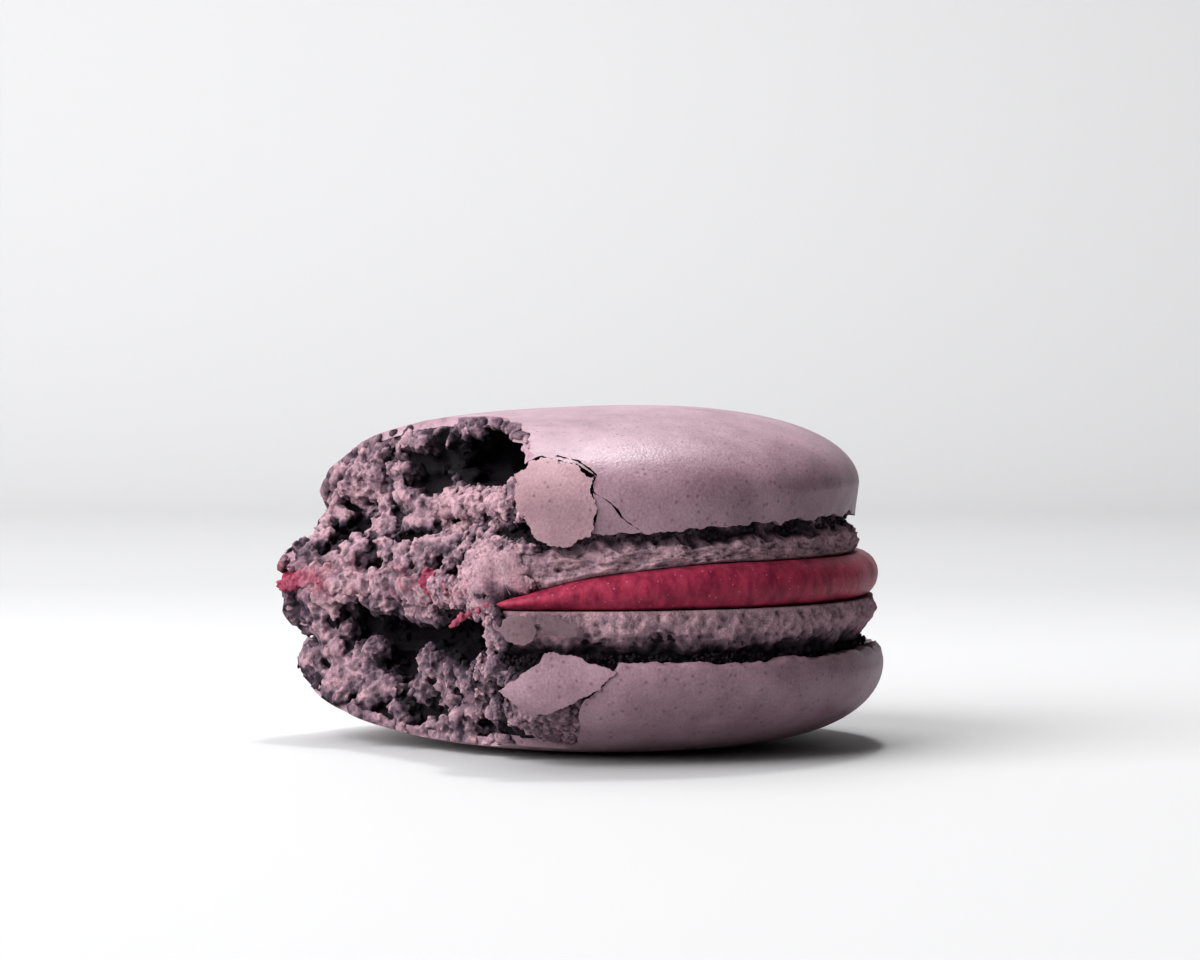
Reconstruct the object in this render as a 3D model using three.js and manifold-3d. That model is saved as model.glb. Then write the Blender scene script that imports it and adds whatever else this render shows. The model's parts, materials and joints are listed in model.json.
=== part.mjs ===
// A French macaron with one bite taken out of its front left side. Two almond shells, each a
// smooth thin crust on a porous foot, hold a disc of red filling between them.
// Millimetres, +Z up. It rests on the flat middle of its bottom shell; -Y is its front.
import * as THREE from 'three';
import { ImprovedNoise } from 'three/addons/math/ImprovedNoise.js';
import { mergeVertices } from 'three/addons/utils/BufferGeometryUtils.js';
import Module from 'manifold-3d';

const wasm = await Module();
wasm.setup();

// ---------------------------------------------------------------- driving sizes

// The bottom shell is a shallow bowl of crust with the foot baked on top of it.
const BOTTOM = {
  centreX: 0.8,
  radius: 22.4, // at the widest circle
  widestHeight: 6.2,
  rimHeight: 7.5,
  rimInset: 0.2, // how far the rim draws in above the widest circle
  flatRadius: 6.5, // the flat spot that it stands on
  roundPowerRight: 4.2, // a fuller bowl on the right,
  roundPowerLeft: 2.2, // a rounder one on the left
  gapRadius: 20.2,
  footRadius: 21.7,
  footBase: 8.8,
};

// The top shell is a dome of crust with the foot under it, and it leans up to the right.
const TOP = {
  centreX: -0.2,
  radius: 21.7,
  apexHeight: 25.3,
  domeHeight: 6.5, // from the apex down to the widest circle
  roundPower: 2.6,
  lipDrop: 8.65, // from the apex down to the crust's lower edge
  lipInset: 0.35,
  gapRadius: 20.3,
  footRadius: 21.2,
  footDrop: 9.75, // from the apex down to the top of the foot
  lean: 0.043, // radians, right side up
};

const FILLING = {
  centreX: 0.7,
  radius: 21.3, // where it leaves the shells; it bulges out beyond this
  bulge: 0.75,
  underside: 11.25,
  upperLeft: 12.9, // the upper face is lower on the bitten side
  upperRight: 14.5,
};

const NODE_GAP = 0.15; // air kept between each shell and the filling
const CRUST = 0.75; // thickness of the crust over a hollow
const LATHE_SIDES = 72;

// The bite, as the upright lines where it meets the outside at the front (near) and at the
// left (far), and how deep it curves in between them.
const BITE = [
  { height: -2, near: [-2.9, -17.5], far: [-17.0, -2.5], depth: 2.0 },
  { height: 2.5, near: [-3.9, -19.5], far: [-19.2, -1.5], depth: 2.4 },
  { height: 6, near: [-5.0, -21.3], far: [-21.3, 3.5], depth: 3.0 },
  { height: 10, near: [-6.2, -20.7], far: [-22.0, 4.2], depth: 3.2 },
  { height: 12.5, near: [-6.8, -20.2], far: [-22.9, 4.2], depth: 2.6 },
  { height: 15, near: [-6.4, -19.6], far: [-21.6, 5.5], depth: 2.4 },
  { height: 17, near: [-4.2, -20.1], far: [-19.4, 8.8], depth: 2.3 },
  { height: 21, near: [-3.3, -19.9], far: [-20.0, 8.7], depth: 2.1 },
  { height: 27, near: [-0.6, -19.2], far: [-19.2, 8.8], depth: 1.8 },
];

// The feet and the filling are squeezed out beyond the crust at the far end of the bite.
const SQUEEZE = { angle: 2.9, spread: 0.26, reach: 1.9 };

// Hollows in the bitten face: their place along the bite from front (0) to left (1), their
// height, how far in the middle lies, and half their length, depth and height.
const TOP_CAVITY = { along: 0.22, height: 21.6, inward: 3.0, half: [8.8, 7.6, 2.15] };
const TOP_HOLLOWS = [
  { along: 0.52, height: 19.3, inward: 0.2, half: [2.2, 1.3, 0.9] },
  { along: 0.86, height: 20.6, inward: 0.1, half: [0.9, 0.9, 0.9] },
  { along: 0.68, height: 20.4, inward: 0.1, half: [0.7, 0.8, 0.9] },
  { along: 0.72, height: 16.9, inward: 0.3, half: [3.2, 1.6, 0.8] },
  { along: 0.1, height: 16.2, inward: 0.2, half: [2.6, 1.6, 0.8] },
];
const BOTTOM_HOLLOWS = [
  { along: 0.3, height: 8.3, inward: 1.2, half: [5.0, 4.2, 2.1] },
  { along: 0.62, height: 8.9, inward: 0.9, half: [5.0, 3.6, 1.8] },
  { along: 0.03, height: 7.9, inward: 0.9, half: [1.5, 1.8, 1.1] },
  { along: 0.12, height: 5.5, inward: 0.5, half: [1.8, 1.4, 0.8] },
  { along: 0.5, height: 5.7, inward: 0.3, half: [1.4, 1.2, 0.9] },
  { along: 0.45, height: 3.1, inward: 0.2, half: [1.6, 1.0, 0.7] },
  { along: 0.1, height: 2.7, inward: 0.2, half: [1.0, 1.0, 0.6] },
];

// Plates of broken crust on the front, drawn as [x, z] seen from the front.
const TOP_FLAKE = [
  [-4.3, 21.3], [-3.2, 21.95], [-2.1, 22.3], [0.2, 21.8], [1.5, 20.9], [1.2, 19.7],
  [1.7, 18.1], [1.0, 16.3], [-0.3, 15.6], [-2.1, 15.7], [-3.4, 17.0], [-4.4, 19.0],
];
const BOTTOM_FLAKE = [
  [-5.3, 5.6], [-3.9, 6.55], [-2.1, 8.3], [0.4, 8.0], [3.0, 7.0], [1.8, 5.7],
  [-0.2, 4.7], [-1.9, 3.9], [-3.2, 4.0],
];
const ROUND_FLAKE = [
  [-5.4, 9.9], [-4.9, 10.7], [-3.9, 11.0], [-2.9, 10.8], [-2.7, 9.9], [-3.0, 9.2],
  [-3.9, 8.8], [-4.9, 9.1],
];
const FLAKE = { proud: 0.35, depth: 0.6 };

// Cracks in the crust beside the flakes, as [x, z] seen from the front.
const TOP_CRACKS = [
  [[-1.3, 22.2], [0.2, 21.85], [1.1, 21.3], [1.5, 20.9], [1.2, 20.2], [1.3, 19.7], [2.7, 18.8],
    [3.7, 17.6], [4.6, 17.0]],
  [[1.4, 19.6], [1.3, 18.8], [1.75, 18.1], [1.6, 17.2], [1.1, 16.2]],
];
const BOTTOM_CRACKS = [
  [[3.1, 7.4], [1.8, 5.7], [0.7, 5.0], [0.5, 4.2], [0.3, 2.4]],
];
const CRACK = { width: 0.26, depth: 0.7 };

const CRUMB_SEED = 41;
const COLOURS = { crust: '#8f727d', filling: '#a3213f' };

// ---------------------------------------------------------------- small tools

const perlin = new ImprovedNoise();

/** A smooth random height from about -1 to 1 that varies over `size` millimetres. */
function lumps(point, size, offset = 0) {
  return 1.6 * perlin.noise(point.x / size + offset, point.y / size, point.z / size + 0.37);
}

/** Goes from 0 to 1 as value goes from `from` to `to`, easing at both ends. */
function ease(value, from, to) {
  return THREE.MathUtils.smoothstep((value - from) / (to - from), 0, 1);
}

/** Moves every corner of a geometry by a function that changes the point it is given. */
function reshape(geometry, move) {
  const positions = geometry.attributes.position;
  const point = new THREE.Vector3();
  for (let index = 0; index < positions.count; index++) {
    point.fromBufferAttribute(positions, index);
    move(point);
    positions.setXYZ(index, point.x, point.y, point.z);
  }
  return geometry;
}

/** A closed geometry as a solid that can be joined and cut. */
function solidOf(geometry) {
  const bare = geometry.clone();
  bare.deleteAttribute('normal');
  bare.deleteAttribute('uv');
  const merged = mergeVertices(bare, 1e-4);
  return new wasm.Manifold(new wasm.Mesh({
    numProp: 3,
    vertProperties: new Float32Array(merged.attributes.position.array),
    triVerts: new Uint32Array(merged.index.array),
  }));
}

/** The largest piece of a solid, as a geometry. Loose scraps and sealed hollows drop out. */
function geometryOf(solid) {
  const pieces = solid.decompose();
  const largest = pieces.reduce((best, piece) => (piece.volume() > best.volume() ? piece : best));
  const mesh = largest.getMesh();
  const geometry = new THREE.BufferGeometry();
  geometry.setAttribute('position', new THREE.BufferAttribute(mesh.vertProperties, 3));
  geometry.setIndex(new THREE.BufferAttribute(mesh.triVerts, 1));
  return geometry;
}

/** A solid turned from an [radius, height] outline about the upright line at centreX. */
function turned(outline, centreX, sides = LATHE_SIDES) {
  const profile = outline.map(([radius, height]) => new THREE.Vector2(radius, height));
  const geometry = new THREE.LatheGeometry(profile, sides);
  geometry.rotateX(Math.PI / 2);
  geometry.translate(centreX, 0, 0);
  return geometry;
}

/** Repeatable random numbers from 0 to 1. */
function seededRandom(seed) {
  let state = seed;
  return () => {
    state = (state * 1664525 + 1013904223) % 4294967296;
    return state / 4294967296;
  };
}

/** Pushes a point away from, or towards, the upright line at centreX. */
function pushOut(point, centreX, distance) {
  const radius = Math.hypot(point.x - centreX, point.y);
  if (radius < 1) return;
  const scale = (radius + distance) / radius;
  point.x = centreX + (point.x - centreX) * scale;
  point.y *= scale;
}

// ---------------------------------------------------------------- the bite

/** The near line, far line and depth of the bite at a height. */
function biteAt(height) {
  const above = BITE.findIndex((section) => section.height > height);
  const upper = BITE[above === -1 ? BITE.length - 1 : Math.max(above, 1)];
  const lower = BITE[BITE.indexOf(upper) - 1];
  const share = (height - lower.height) / (upper.height - lower.height);
  const near = new THREE.Vector2(...lower.near).lerp(new THREE.Vector2(...upper.near), share);
  const far = new THREE.Vector2(...lower.far).lerp(new THREE.Vector2(...upper.far), share);
  return { near, far, depth: THREE.MathUtils.lerp(lower.depth, upper.depth, share) };
}

/** The point of the bitten face at a share of its length, a height and a distance inward. */
function onBite(along, height, inward = 0) {
  const { near, far, depth } = biteAt(height);
  const chord = far.clone().sub(near);
  const into = new THREE.Vector2(chord.y, -chord.x).normalize();
  const inside = THREE.MathUtils.clamp(along, 0, 1);
  const curve = depth * 4 * inside * (1 - inside);
  const place = near.addScaledVector(chord, along).addScaledVector(into, curve + inward);
  return new THREE.Vector3(place.x, place.y, height);
}

/** The block that the bite removes, with the craggy torn face on its inner side. */
function biteBlock() {
  const columns = 40;
  const rows = 28;
  const past = 0.25; // how far the block runs past the bite at each end
  const low = -2;
  const high = 27;
  const block = new THREE.BoxGeometry(1, 1, 1, columns, 1, rows);
  reshape(block, (point) => {
    const along = THREE.MathUtils.lerp(-past, 1 + past, point.x + 0.5);
    const height = THREE.MathUtils.lerp(low, high, point.z + 0.5);
    const onFace = point.y < 0;
    point.copy(onBite(along, height, onFace ? 0 : -24));
    if (onFace) {
      const rough = 0.95 * lumps(point, 3.4) + 0.55 * lumps(point, 1.7, 9);
      const sag = 0.4 * lumps(point, 2.3, 5);
      point.copy(onBite(along, height, rough));
      point.z += sag;
    }
  });
  return solidOf(block);
}

/** A rough ball, stretched along the bite, for a hollow or a lump of crumb. */
function blob({ along, height, inward, half }, detail) {
  const middle = onBite(along, height, inward);
  const ahead = onBite(along + 0.02, height, inward);
  const yaw = Math.atan2(ahead.y - middle.y, ahead.x - middle.x);
  const ball = new THREE.IcosahedronGeometry(1, detail);
  reshape(ball, (point) => {
    const wobble = 1 + 0.22 * lumps(point, 0.8, middle.x + middle.z);
    point.multiplyScalar(wobble);
  });
  ball.scale(...half);
  ball.rotateZ(yaw);
  ball.translate(middle.x, middle.y, middle.z);
  return solidOf(ball);
}

/** Lumps of torn crumb standing on the bitten face between two heights. */
function crumbLumps(count, low, high, seed) {
  const random = seededRandom(seed);
  let joined = null;
  for (let index = 0; index < count; index++) {
    const size = THREE.MathUtils.lerp(0.6, 1.25, random());
    const lump = blob({
      along: THREE.MathUtils.lerp(0.01, 0.97, random()),
      height: THREE.MathUtils.lerp(low, high, random()),
      inward: 0.25,
      half: [size, size * 0.95, size * 0.8],
    }, 0);
    joined = joined ? joined.add(lump) : lump;
  }
  return joined;
}

/** Small open pores in the bitten face between two heights. */
function crumbPores(count, low, high, seed) {
  const random = seededRandom(seed);
  let joined = null;
  for (let index = 0; index < count; index++) {
    const size = THREE.MathUtils.lerp(0.4, 0.85, random());
    const pore = blob({
      along: THREE.MathUtils.lerp(0.02, 0.98, random()),
      height: THREE.MathUtils.lerp(low, high, random()),
      inward: 0.1,
      half: [size, size * 1.2, size * 0.9],
    }, 0);
    joined = joined ? joined.add(pore) : pore;
  }
  return joined;
}

// ---------------------------------------------------------------- plates and cracks

/** A prism along Y through the front of the macaron, from an [x, z] outline. */
function frontPrism(outline) {
  const shape = new THREE.Shape(outline.map(([x, z]) => new THREE.Vector2(x, z)));
  const geometry = new THREE.ExtrudeGeometry(shape, { depth: 14, bevelEnabled: false });
  geometry.rotateX(Math.PI / 2);
  geometry.translate(0, -12, 0);
  return solidOf(geometry);
}

/** The outline of a crack: a thin ribbon that narrows to a point at its end. */
function crackOutline(path) {
  const half = (index) => (CRACK.width / 2) * (1 - 0.8 * (index / (path.length - 1)));
  const left = path.map(([x, z], index) => [x - half(index), z - half(index) * 0.6]);
  const right = path.map(([x, z], index) => [x + half(index), z + half(index) * 0.6]);
  return left.concat(right.reverse());
}

// ---------------------------------------------------------------- the filling

/** Height of the filling's upper face: it thins towards the bitten front corner. */
function fillingTop(x, y) {
  const rise = ease(x, -8, 12) * (FILLING.upperRight - FILLING.upperLeft);
  const pinch = 0.8 * ease(-y, 14, 19) * ease(-x, -2, 6);
  return FILLING.upperLeft + rise - pinch;
}

/** How far the bite squeezed the feet and the filling out at the far end of the face. */
function squeezedOut(point, centreX) {
  const angle = Math.atan2(point.y, point.x - centreX);
  const away = (angle - SQUEEZE.angle) / SQUEEZE.spread;
  const inBand = ease(point.z, 7.5, 9.5) * ease(-point.z, -16, -14.6);
  return SQUEEZE.reach * Math.exp(-away * away) * inBand;
}

/** A wide slab with the filling's two faces, each moved out by `gap`. */
function fillingSlab(gap) {
  const cells = 11;
  const slab = new THREE.BoxGeometry(60, 60, 2, cells, cells, 1);
  reshape(slab, (point) => {
    point.z = point.z > 0 ? fillingTop(point.x, point.y) + gap : FILLING.underside - gap;
  });
  return solidOf(slab);
}

function filling(bite) {
  const { centreX, radius, bulge } = FILLING;
  const low = FILLING.underside - 0.5;
  const high = FILLING.upperRight + 0.5;
  const steps = 6;
  const outline = [[0, low]];
  for (let step = 0; step <= steps; step++) {
    const share = step / steps;
    outline.push([radius + bulge * Math.sin(Math.PI * share), low + (high - low) * share]);
  }
  outline.push([0, high]);
  const disc = reshape(turned(outline, centreX), (point) => {
    pushOut(point, centreX, squeezedOut(point, centreX) + 0.16 * lumps(point, 3.0, 2));
  });
  return solidOf(disc).intersect(fillingSlab(0)).subtract(bite);
}

// ---------------------------------------------------------------- the bottom shell

/** The bowl of crust. `grow` moves its outside out; `rimHeight` is where it ends. */
function bottomCrust(grow = 0, rimHeight = BOTTOM.rimHeight) {
  const { centreX, flatRadius, rimInset, widestHeight } = BOTTOM;
  const radius = BOTTOM.radius + grow;
  const steps = 9;
  const outline = [[0, -grow], [flatRadius, -grow]];
  for (let step = 1; step <= steps; step++) {
    const turn = (step / steps) * (Math.PI / 2);
    outline.push([flatRadius + (radius - flatRadius) * Math.sin(turn), widestHeight]);
  }
  outline.push([radius - rimInset, rimHeight], [radius - 1.0, rimHeight + 0.05]);
  outline.push([radius - 2.4, rimHeight - 0.3], [0, rimHeight - 0.3]);
  const bowl = turned(outline, centreX);
  return reshape(bowl, (point) => {
    const across = point.x - centreX;
    const out = Math.hypot(across, point.y);
    if (point.z > widestHeight + 0.01) {
      const ragged = ease(out, radius - 3, radius - 1.2);
      point.z += ragged * (0.22 * lumps(point, 2.4, 3) + 0.12 * lumps(point, 1.1, 7));
    } else if (out > flatRadius + 0.01) {
      const leftward = (1 - across / out) / 2;
      const drop = BOTTOM.roundPowerRight - BOTTOM.roundPowerLeft;
      const power = BOTTOM.roundPowerRight - drop * leftward ** 1.5;
      const flat = (flatRadius / radius) ** power;
      const share = Math.max(0, ((out / radius) ** power - flat) / (1 - flat));
      point.z = -grow + (widestHeight + grow) * (1 - Math.sqrt(Math.max(0, 1 - share)));
    }
  });
}

/** The porous foot that stands on the bowl, up to the filling. */
function bottomFoot() {
  const { centreX, gapRadius, footRadius, footBase } = BOTTOM;
  const outline = [
    [0, 5.5], [gapRadius, 5.5], [gapRadius, footBase - 0.7], [footRadius - 0.7, footBase],
    [footRadius - 0.15, footBase + 0.8], [footRadius, footBase + 1.6],
    [footRadius - 0.1, FILLING.underside + 0.4], [0, FILLING.underside + 0.4],
  ];
  return reshape(turned(outline, centreX), (point) => {
    const porous = 0.34 * lumps(point, 2.6, 4) + 0.2 * lumps(point, 1.3, 8);
    pushOut(point, centreX, porous + squeezedOut(point, centreX));
    const nearRim = ease(Math.hypot(point.x - centreX, point.y), 17, 20);
    if (point.z > 7 && point.z < footBase + 0.3) point.z += 0.4 * nearRim * lumps(point, 3.3, 6);
  });
}

function bottomShell(bite) {
  const plates = solidOf(bottomCrust(FLAKE.proud)).subtract(solidOf(bottomCrust(-FLAKE.depth, 9.5)));
  const crackLayer = solidOf(bottomCrust(0.4)).subtract(solidOf(bottomCrust(-CRACK.depth, 9)));
  const roundPlate = turned([[0, 8], [21.0, 8], [21.4, 9], [20.9, 12], [0, 12]], BOTTOM.centreX);
  let shell = solidOf(bottomCrust()).add(solidOf(bottomFoot()));
  shell = shell.subtract(bite).add(crumbLumps(16, 2.5, 11, CRUMB_SEED));
  for (const hollow of BOTTOM_HOLLOWS) shell = shell.subtract(blob(hollow, 1));
  shell = shell.subtract(crumbPores(9, 2.5, 11, CRUMB_SEED + 1));
  for (const path of BOTTOM_CRACKS) {
    shell = shell.subtract(frontPrism(crackOutline(path)).intersect(crackLayer));
  }
  shell = shell.add(frontPrism(BOTTOM_FLAKE).intersect(plates));
  shell = shell.add(frontPrism(ROUND_FLAKE).intersect(solidOf(roundPlate)));
  return shell.subtract(fillingSlab(NODE_GAP));
}

// ---------------------------------------------------------------- the top shell

/** Leans a geometry of the top shell up to the right, about the middle of its foot. */
function leaned(geometry) {
  const pivot = TOP.apexHeight - 9;
  geometry.translate(-TOP.centreX, 0, -pivot);
  geometry.rotateY(-TOP.lean);
  return geometry.translate(TOP.centreX, 0, pivot);
}

/** The dome of crust. `grow` moves its outside out; `lipDrop` is where its edge ends. */
function topCrust(grow = 0, lipDrop = TOP.lipDrop) {
  const { centreX, apexHeight, domeHeight, roundPower, lipInset } = TOP;
  const radius = TOP.radius + grow;
  const lip = apexHeight - lipDrop;
  const steps = 9;
  const outline = [[0, lip + 0.5], [radius - 2.6, lip + 0.5], [radius - 1.1, lip]];
  outline.push([radius - lipInset, lip]);
  for (let step = steps; step >= 0; step--) {
    const out = Math.sin((step / steps) * (Math.PI / 2));
    const fall = domeHeight * (1 - Math.sqrt(1 - out ** roundPower));
    outline.push([radius * out, apexHeight + grow - fall]);
  }
  const dome = turned(outline, centreX);
  reshape(dome, (point) => {
    const edge = ease(-point.z, -(lip + 1), -lip) * ease(Math.hypot(point.x, point.y), 18, 20);
    point.z += edge * (0.3 * lumps(point, 2.6, 1) + 0.16 * lumps(point, 1.2, 5));
  });
  return leaned(dome);
}

/** The porous foot that hangs under the dome, down to the filling. */
function topFoot() {
  const { centreX, apexHeight, gapRadius, footRadius, footDrop } = TOP;
  const top = apexHeight - footDrop;
  const bottom = FILLING.upperLeft - 1.2;
  const outline = [
    [0, bottom], [footRadius - 0.3, bottom], [footRadius, bottom + 1.2], [footRadius, top - 0.8],
    [footRadius - 0.35, top - 0.1], [gapRadius, top + 0.45], [gapRadius, top + 2.2],
    [0, top + 2.2],
  ];
  const foot = reshape(turned(outline, centreX), (point) => {
    const porous = 0.3 * lumps(point, 2.4, 2) + 0.2 * lumps(point, 1.2, 6);
    pushOut(point, centreX, porous + squeezedOut(point, centreX));
    const nearRim = ease(Math.hypot(point.x - centreX, point.y), 17, 20);
    if (point.z > top - 1 && point.z < top + 1) point.z += 0.3 * nearRim * lumps(point, 2.8, 3);
  });
  return leaned(foot);
}

function topShell(bite) {
  const plates = solidOf(topCrust(FLAKE.proud, 10.3)).subtract(solidOf(topCrust(-FLAKE.depth, 12)));
  const crackLayer = solidOf(topCrust(0.4)).subtract(solidOf(topCrust(-CRACK.depth, 10)));
  const underCrust = solidOf(topCrust(-CRUST, 10));
  let shell = solidOf(topCrust()).add(solidOf(topFoot()));
  shell = shell.subtract(bite).add(crumbLumps(15, 12.5, 19.5, CRUMB_SEED + 2));
  shell = shell.subtract(blob(TOP_CAVITY, 2).intersect(underCrust));
  for (const hollow of TOP_HOLLOWS) shell = shell.subtract(blob(hollow, 1));
  shell = shell.subtract(crumbPores(9, 13.5, 22, CRUMB_SEED + 3));
  for (const path of TOP_CRACKS) {
    shell = shell.subtract(frontPrism(crackOutline(path)).intersect(crackLayer));
  }
  shell = shell.add(frontPrism(TOP_FLAKE).intersect(plates));
  return shell.subtract(fillingSlab(NODE_GAP));
}

// ---------------------------------------------------------------- the macaron

/** A named mesh of one node. */
function node(name, solid, colour, roughness) {
  const material = new THREE.MeshStandardMaterial({ color: colour, roughness, metalness: 0 });
  const mesh = new THREE.Mesh(geometryOf(solid), material);
  mesh.name = name;
  return mesh;
}

/** Moves all the meshes so that the middle of the box's underside is at the origin. */
function centreOnBase(group) {
  const box = new THREE.Box3().setFromObject(group);
  const middle = box.getCenter(new THREE.Vector3());
  for (const mesh of group.children) mesh.geometry.translate(-middle.x, -middle.y, -box.min.z);
  return group;
}

const bite = biteBlock();
const macaron = new THREE.Group();
macaron.add(node('bottom_shell', bottomShell(bite), COLOURS.crust, 0.75));
macaron.add(node('filling', filling(bite), COLOURS.filling, 0.35));
macaron.add(node('top_shell', topShell(bite), COLOURS.crust, 0.6));

export default centreOnBase(macaron);
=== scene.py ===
"""A bitten French macaron: two almond shells round a disc of red filling."""

import json
import logging
import math
from dataclasses import dataclass, field
from enum import Enum
from typing import Callable, Sequence

import bpy
import numpy as np
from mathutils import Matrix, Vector

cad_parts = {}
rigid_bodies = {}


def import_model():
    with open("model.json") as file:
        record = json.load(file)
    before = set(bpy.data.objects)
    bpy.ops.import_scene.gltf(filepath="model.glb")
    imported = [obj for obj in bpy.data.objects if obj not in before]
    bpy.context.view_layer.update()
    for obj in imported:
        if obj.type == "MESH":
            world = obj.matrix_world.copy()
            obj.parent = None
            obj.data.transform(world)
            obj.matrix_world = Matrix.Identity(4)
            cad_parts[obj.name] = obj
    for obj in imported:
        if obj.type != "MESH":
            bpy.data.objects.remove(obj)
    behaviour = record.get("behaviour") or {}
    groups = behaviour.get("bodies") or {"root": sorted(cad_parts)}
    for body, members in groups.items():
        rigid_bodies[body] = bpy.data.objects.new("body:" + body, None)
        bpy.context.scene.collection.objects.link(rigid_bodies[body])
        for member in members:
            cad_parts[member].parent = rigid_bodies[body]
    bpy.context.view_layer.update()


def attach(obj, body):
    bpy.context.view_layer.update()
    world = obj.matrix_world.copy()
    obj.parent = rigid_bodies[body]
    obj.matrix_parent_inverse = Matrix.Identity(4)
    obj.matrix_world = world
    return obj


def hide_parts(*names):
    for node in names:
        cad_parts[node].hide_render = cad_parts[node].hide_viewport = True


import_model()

log = logging.getLogger("macaron")

MM = 0.001  # pieces are shaped in millimetres and brought to metres when they are finished
PART_SHIFT = (-0.235, 0.175, 0.0)  # mm, from the shells' drawing to the middle of the whole box
Move = Callable[[np.ndarray], np.ndarray]
Outline = Sequence[tuple[float, float]]


# ---------------------------------------------------------------- small tools


def deselect_all() -> None:
    """Leaves nothing selected and nothing active."""
    bpy.ops.object.select_all(action="DESELECT")
    bpy.context.view_layer.objects.active = None


def pick(*objects: bpy.types.Object) -> None:
    """Selects only these objects and makes the first one active."""
    deselect_all()
    for item in objects:
        item.select_set(True)
    bpy.context.view_layer.objects.active = objects[0]


def corners_of(piece: bpy.types.Object) -> np.ndarray:
    """The corners of a piece's mesh, as rows of x, y, z."""
    flat = np.empty(len(piece.data.vertices) * 3)
    piece.data.vertices.foreach_get("co", flat)
    return flat.reshape(-1, 3)


def reshape(piece: bpy.types.Object, move: Move) -> bpy.types.Object:
    """Moves every corner of a piece.

    Args:
        piece: The object whose mesh is moved.
        move: Takes all the corners and returns their new places.

    Returns:
        The same object.
    """
    piece.data.vertices.foreach_set("co", move(corners_of(piece)).ravel())
    piece.data.update()
    return piece


def with_modifier(piece: bpy.types.Object, kind: str, **settings: object) -> bpy.types.Object:
    """Adds one modifier, sets it and applies it.

    Args:
        piece: The object to change.
        kind: The modifier's type.
        **settings: Values for the modifier's own properties.

    Returns:
        The same object.
    """
    pick(piece)
    bpy.ops.object.modifier_add(type=kind)
    modifier = piece.modifiers[-1]
    for name, value in settings.items():
        setattr(modifier, name, value)
    bpy.ops.object.modifier_apply(modifier=modifier.name)
    return piece


def combine(
    piece: bpy.types.Object, other: bpy.types.Object, operation: str, keep: bool = False
) -> bpy.types.Object:
    """Joins a closed piece with another one, or cuts it by the other one.

    Args:
        piece: The object that stays.
        other: The object that is added, taken away or kept in common.
        operation: UNION, DIFFERENCE or INTERSECT.
        keep: Whether the other object is kept for later cuts.

    Returns:
        The first object.
    """
    with_modifier(piece, "BOOLEAN", object=other, operation=operation, solver="MANIFOLD")
    if not keep:
        bpy.data.objects.remove(other, do_unlink=True)
    return piece


def copy_of(piece: bpy.types.Object, name: str) -> bpy.types.Object:
    """A copy of a piece with its own mesh."""
    twin = piece.copy()
    twin.data = piece.data.copy()
    twin.name = name
    bpy.context.collection.objects.link(twin)
    return twin


def joined(name: str, *pieces: bpy.types.Object) -> bpy.types.Object:
    """Puts several meshes into one object under a new name."""
    pick(*pieces)
    if len(pieces) > 1:
        bpy.ops.object.join()
    pieces[0].name = name
    return pieces[0]


def drawn(name: str, outline: Outline, closed: bool) -> bpy.types.Object:
    """An object of one line of edges in the XZ plane, left in edit mode with its end selected.

    Args:
        name: The new object's name.
        outline: The line's points as x and z.
        closed: Whether the last point is tied back to the first one.

    Returns:
        The new object, in edit mode.
    """
    deselect_all()
    start_x, start_z = outline[0]
    bpy.ops.mesh.primitive_plane_add(size=0.1, location=(start_x, 0.0, start_z))
    piece = bpy.context.active_object
    piece.name = name
    bpy.ops.object.transform_apply(location=True, rotation=False, scale=False)
    bpy.ops.object.mode_set(mode="EDIT")
    bpy.ops.mesh.select_mode(type="VERT")
    bpy.ops.mesh.select_all(action="SELECT")
    bpy.ops.mesh.merge(type="CENTER")
    for (x0, z0), (x1, z1) in zip(outline, outline[1:]):
        bpy.ops.mesh.extrude_vertices_move(
            TRANSFORM_OT_translate={"value": (x1 - x0, 0.0, z1 - z0)}
        )
    if closed:
        bpy.ops.mesh.select_all(action="SELECT")
        bpy.ops.mesh.edge_face_add()
    return piece


def tidy_normals(threshold: float = 1e-3) -> None:
    """Merges doubled corners of the mesh in edit mode and turns its faces outwards."""
    bpy.ops.mesh.select_all(action="SELECT")
    bpy.ops.mesh.remove_doubles(threshold=threshold)
    bpy.ops.mesh.normals_make_consistent(inside=False)


def turned(name: str, outline: Outline, centre_x: float, steps: int) -> bpy.types.Object:
    """A closed solid spun from an outline that starts and ends on the axis.

    Args:
        name: The new object's name.
        outline: Points as distance from the axis and height.
        centre_x: Where the upright axis stands.
        steps: How many sides the solid has.

    Returns:
        The new object.
    """
    piece = drawn(name, outline, closed=False)
    bpy.ops.mesh.select_all(action="SELECT")
    bpy.ops.mesh.spin(steps=steps, angle=math.tau, center=(0.0, 0.0, 0.0), axis=(0.0, 0.0, 1.0))
    tidy_normals()
    bpy.ops.object.mode_set(mode="OBJECT")
    reshape(piece, lambda points: points + (centre_x, 0.0, 0.0))
    return piece


def facing_away(piece: bpy.types.Object, middle: tuple[float, float, float]) -> bpy.types.Object:
    """Turns an open, bulging sheet so that its faces point away from its middle."""
    outwards = sum((face.center - Vector(middle)).dot(face.normal) * face.area for face in piece.data.polygons)
    if outwards < 0.0:
        pick(piece)
        bpy.ops.object.mode_set(mode="EDIT")
        bpy.ops.mesh.select_all(action="SELECT")
        bpy.ops.mesh.flip_normals()
        bpy.ops.object.mode_set(mode="OBJECT")
    return piece


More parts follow.
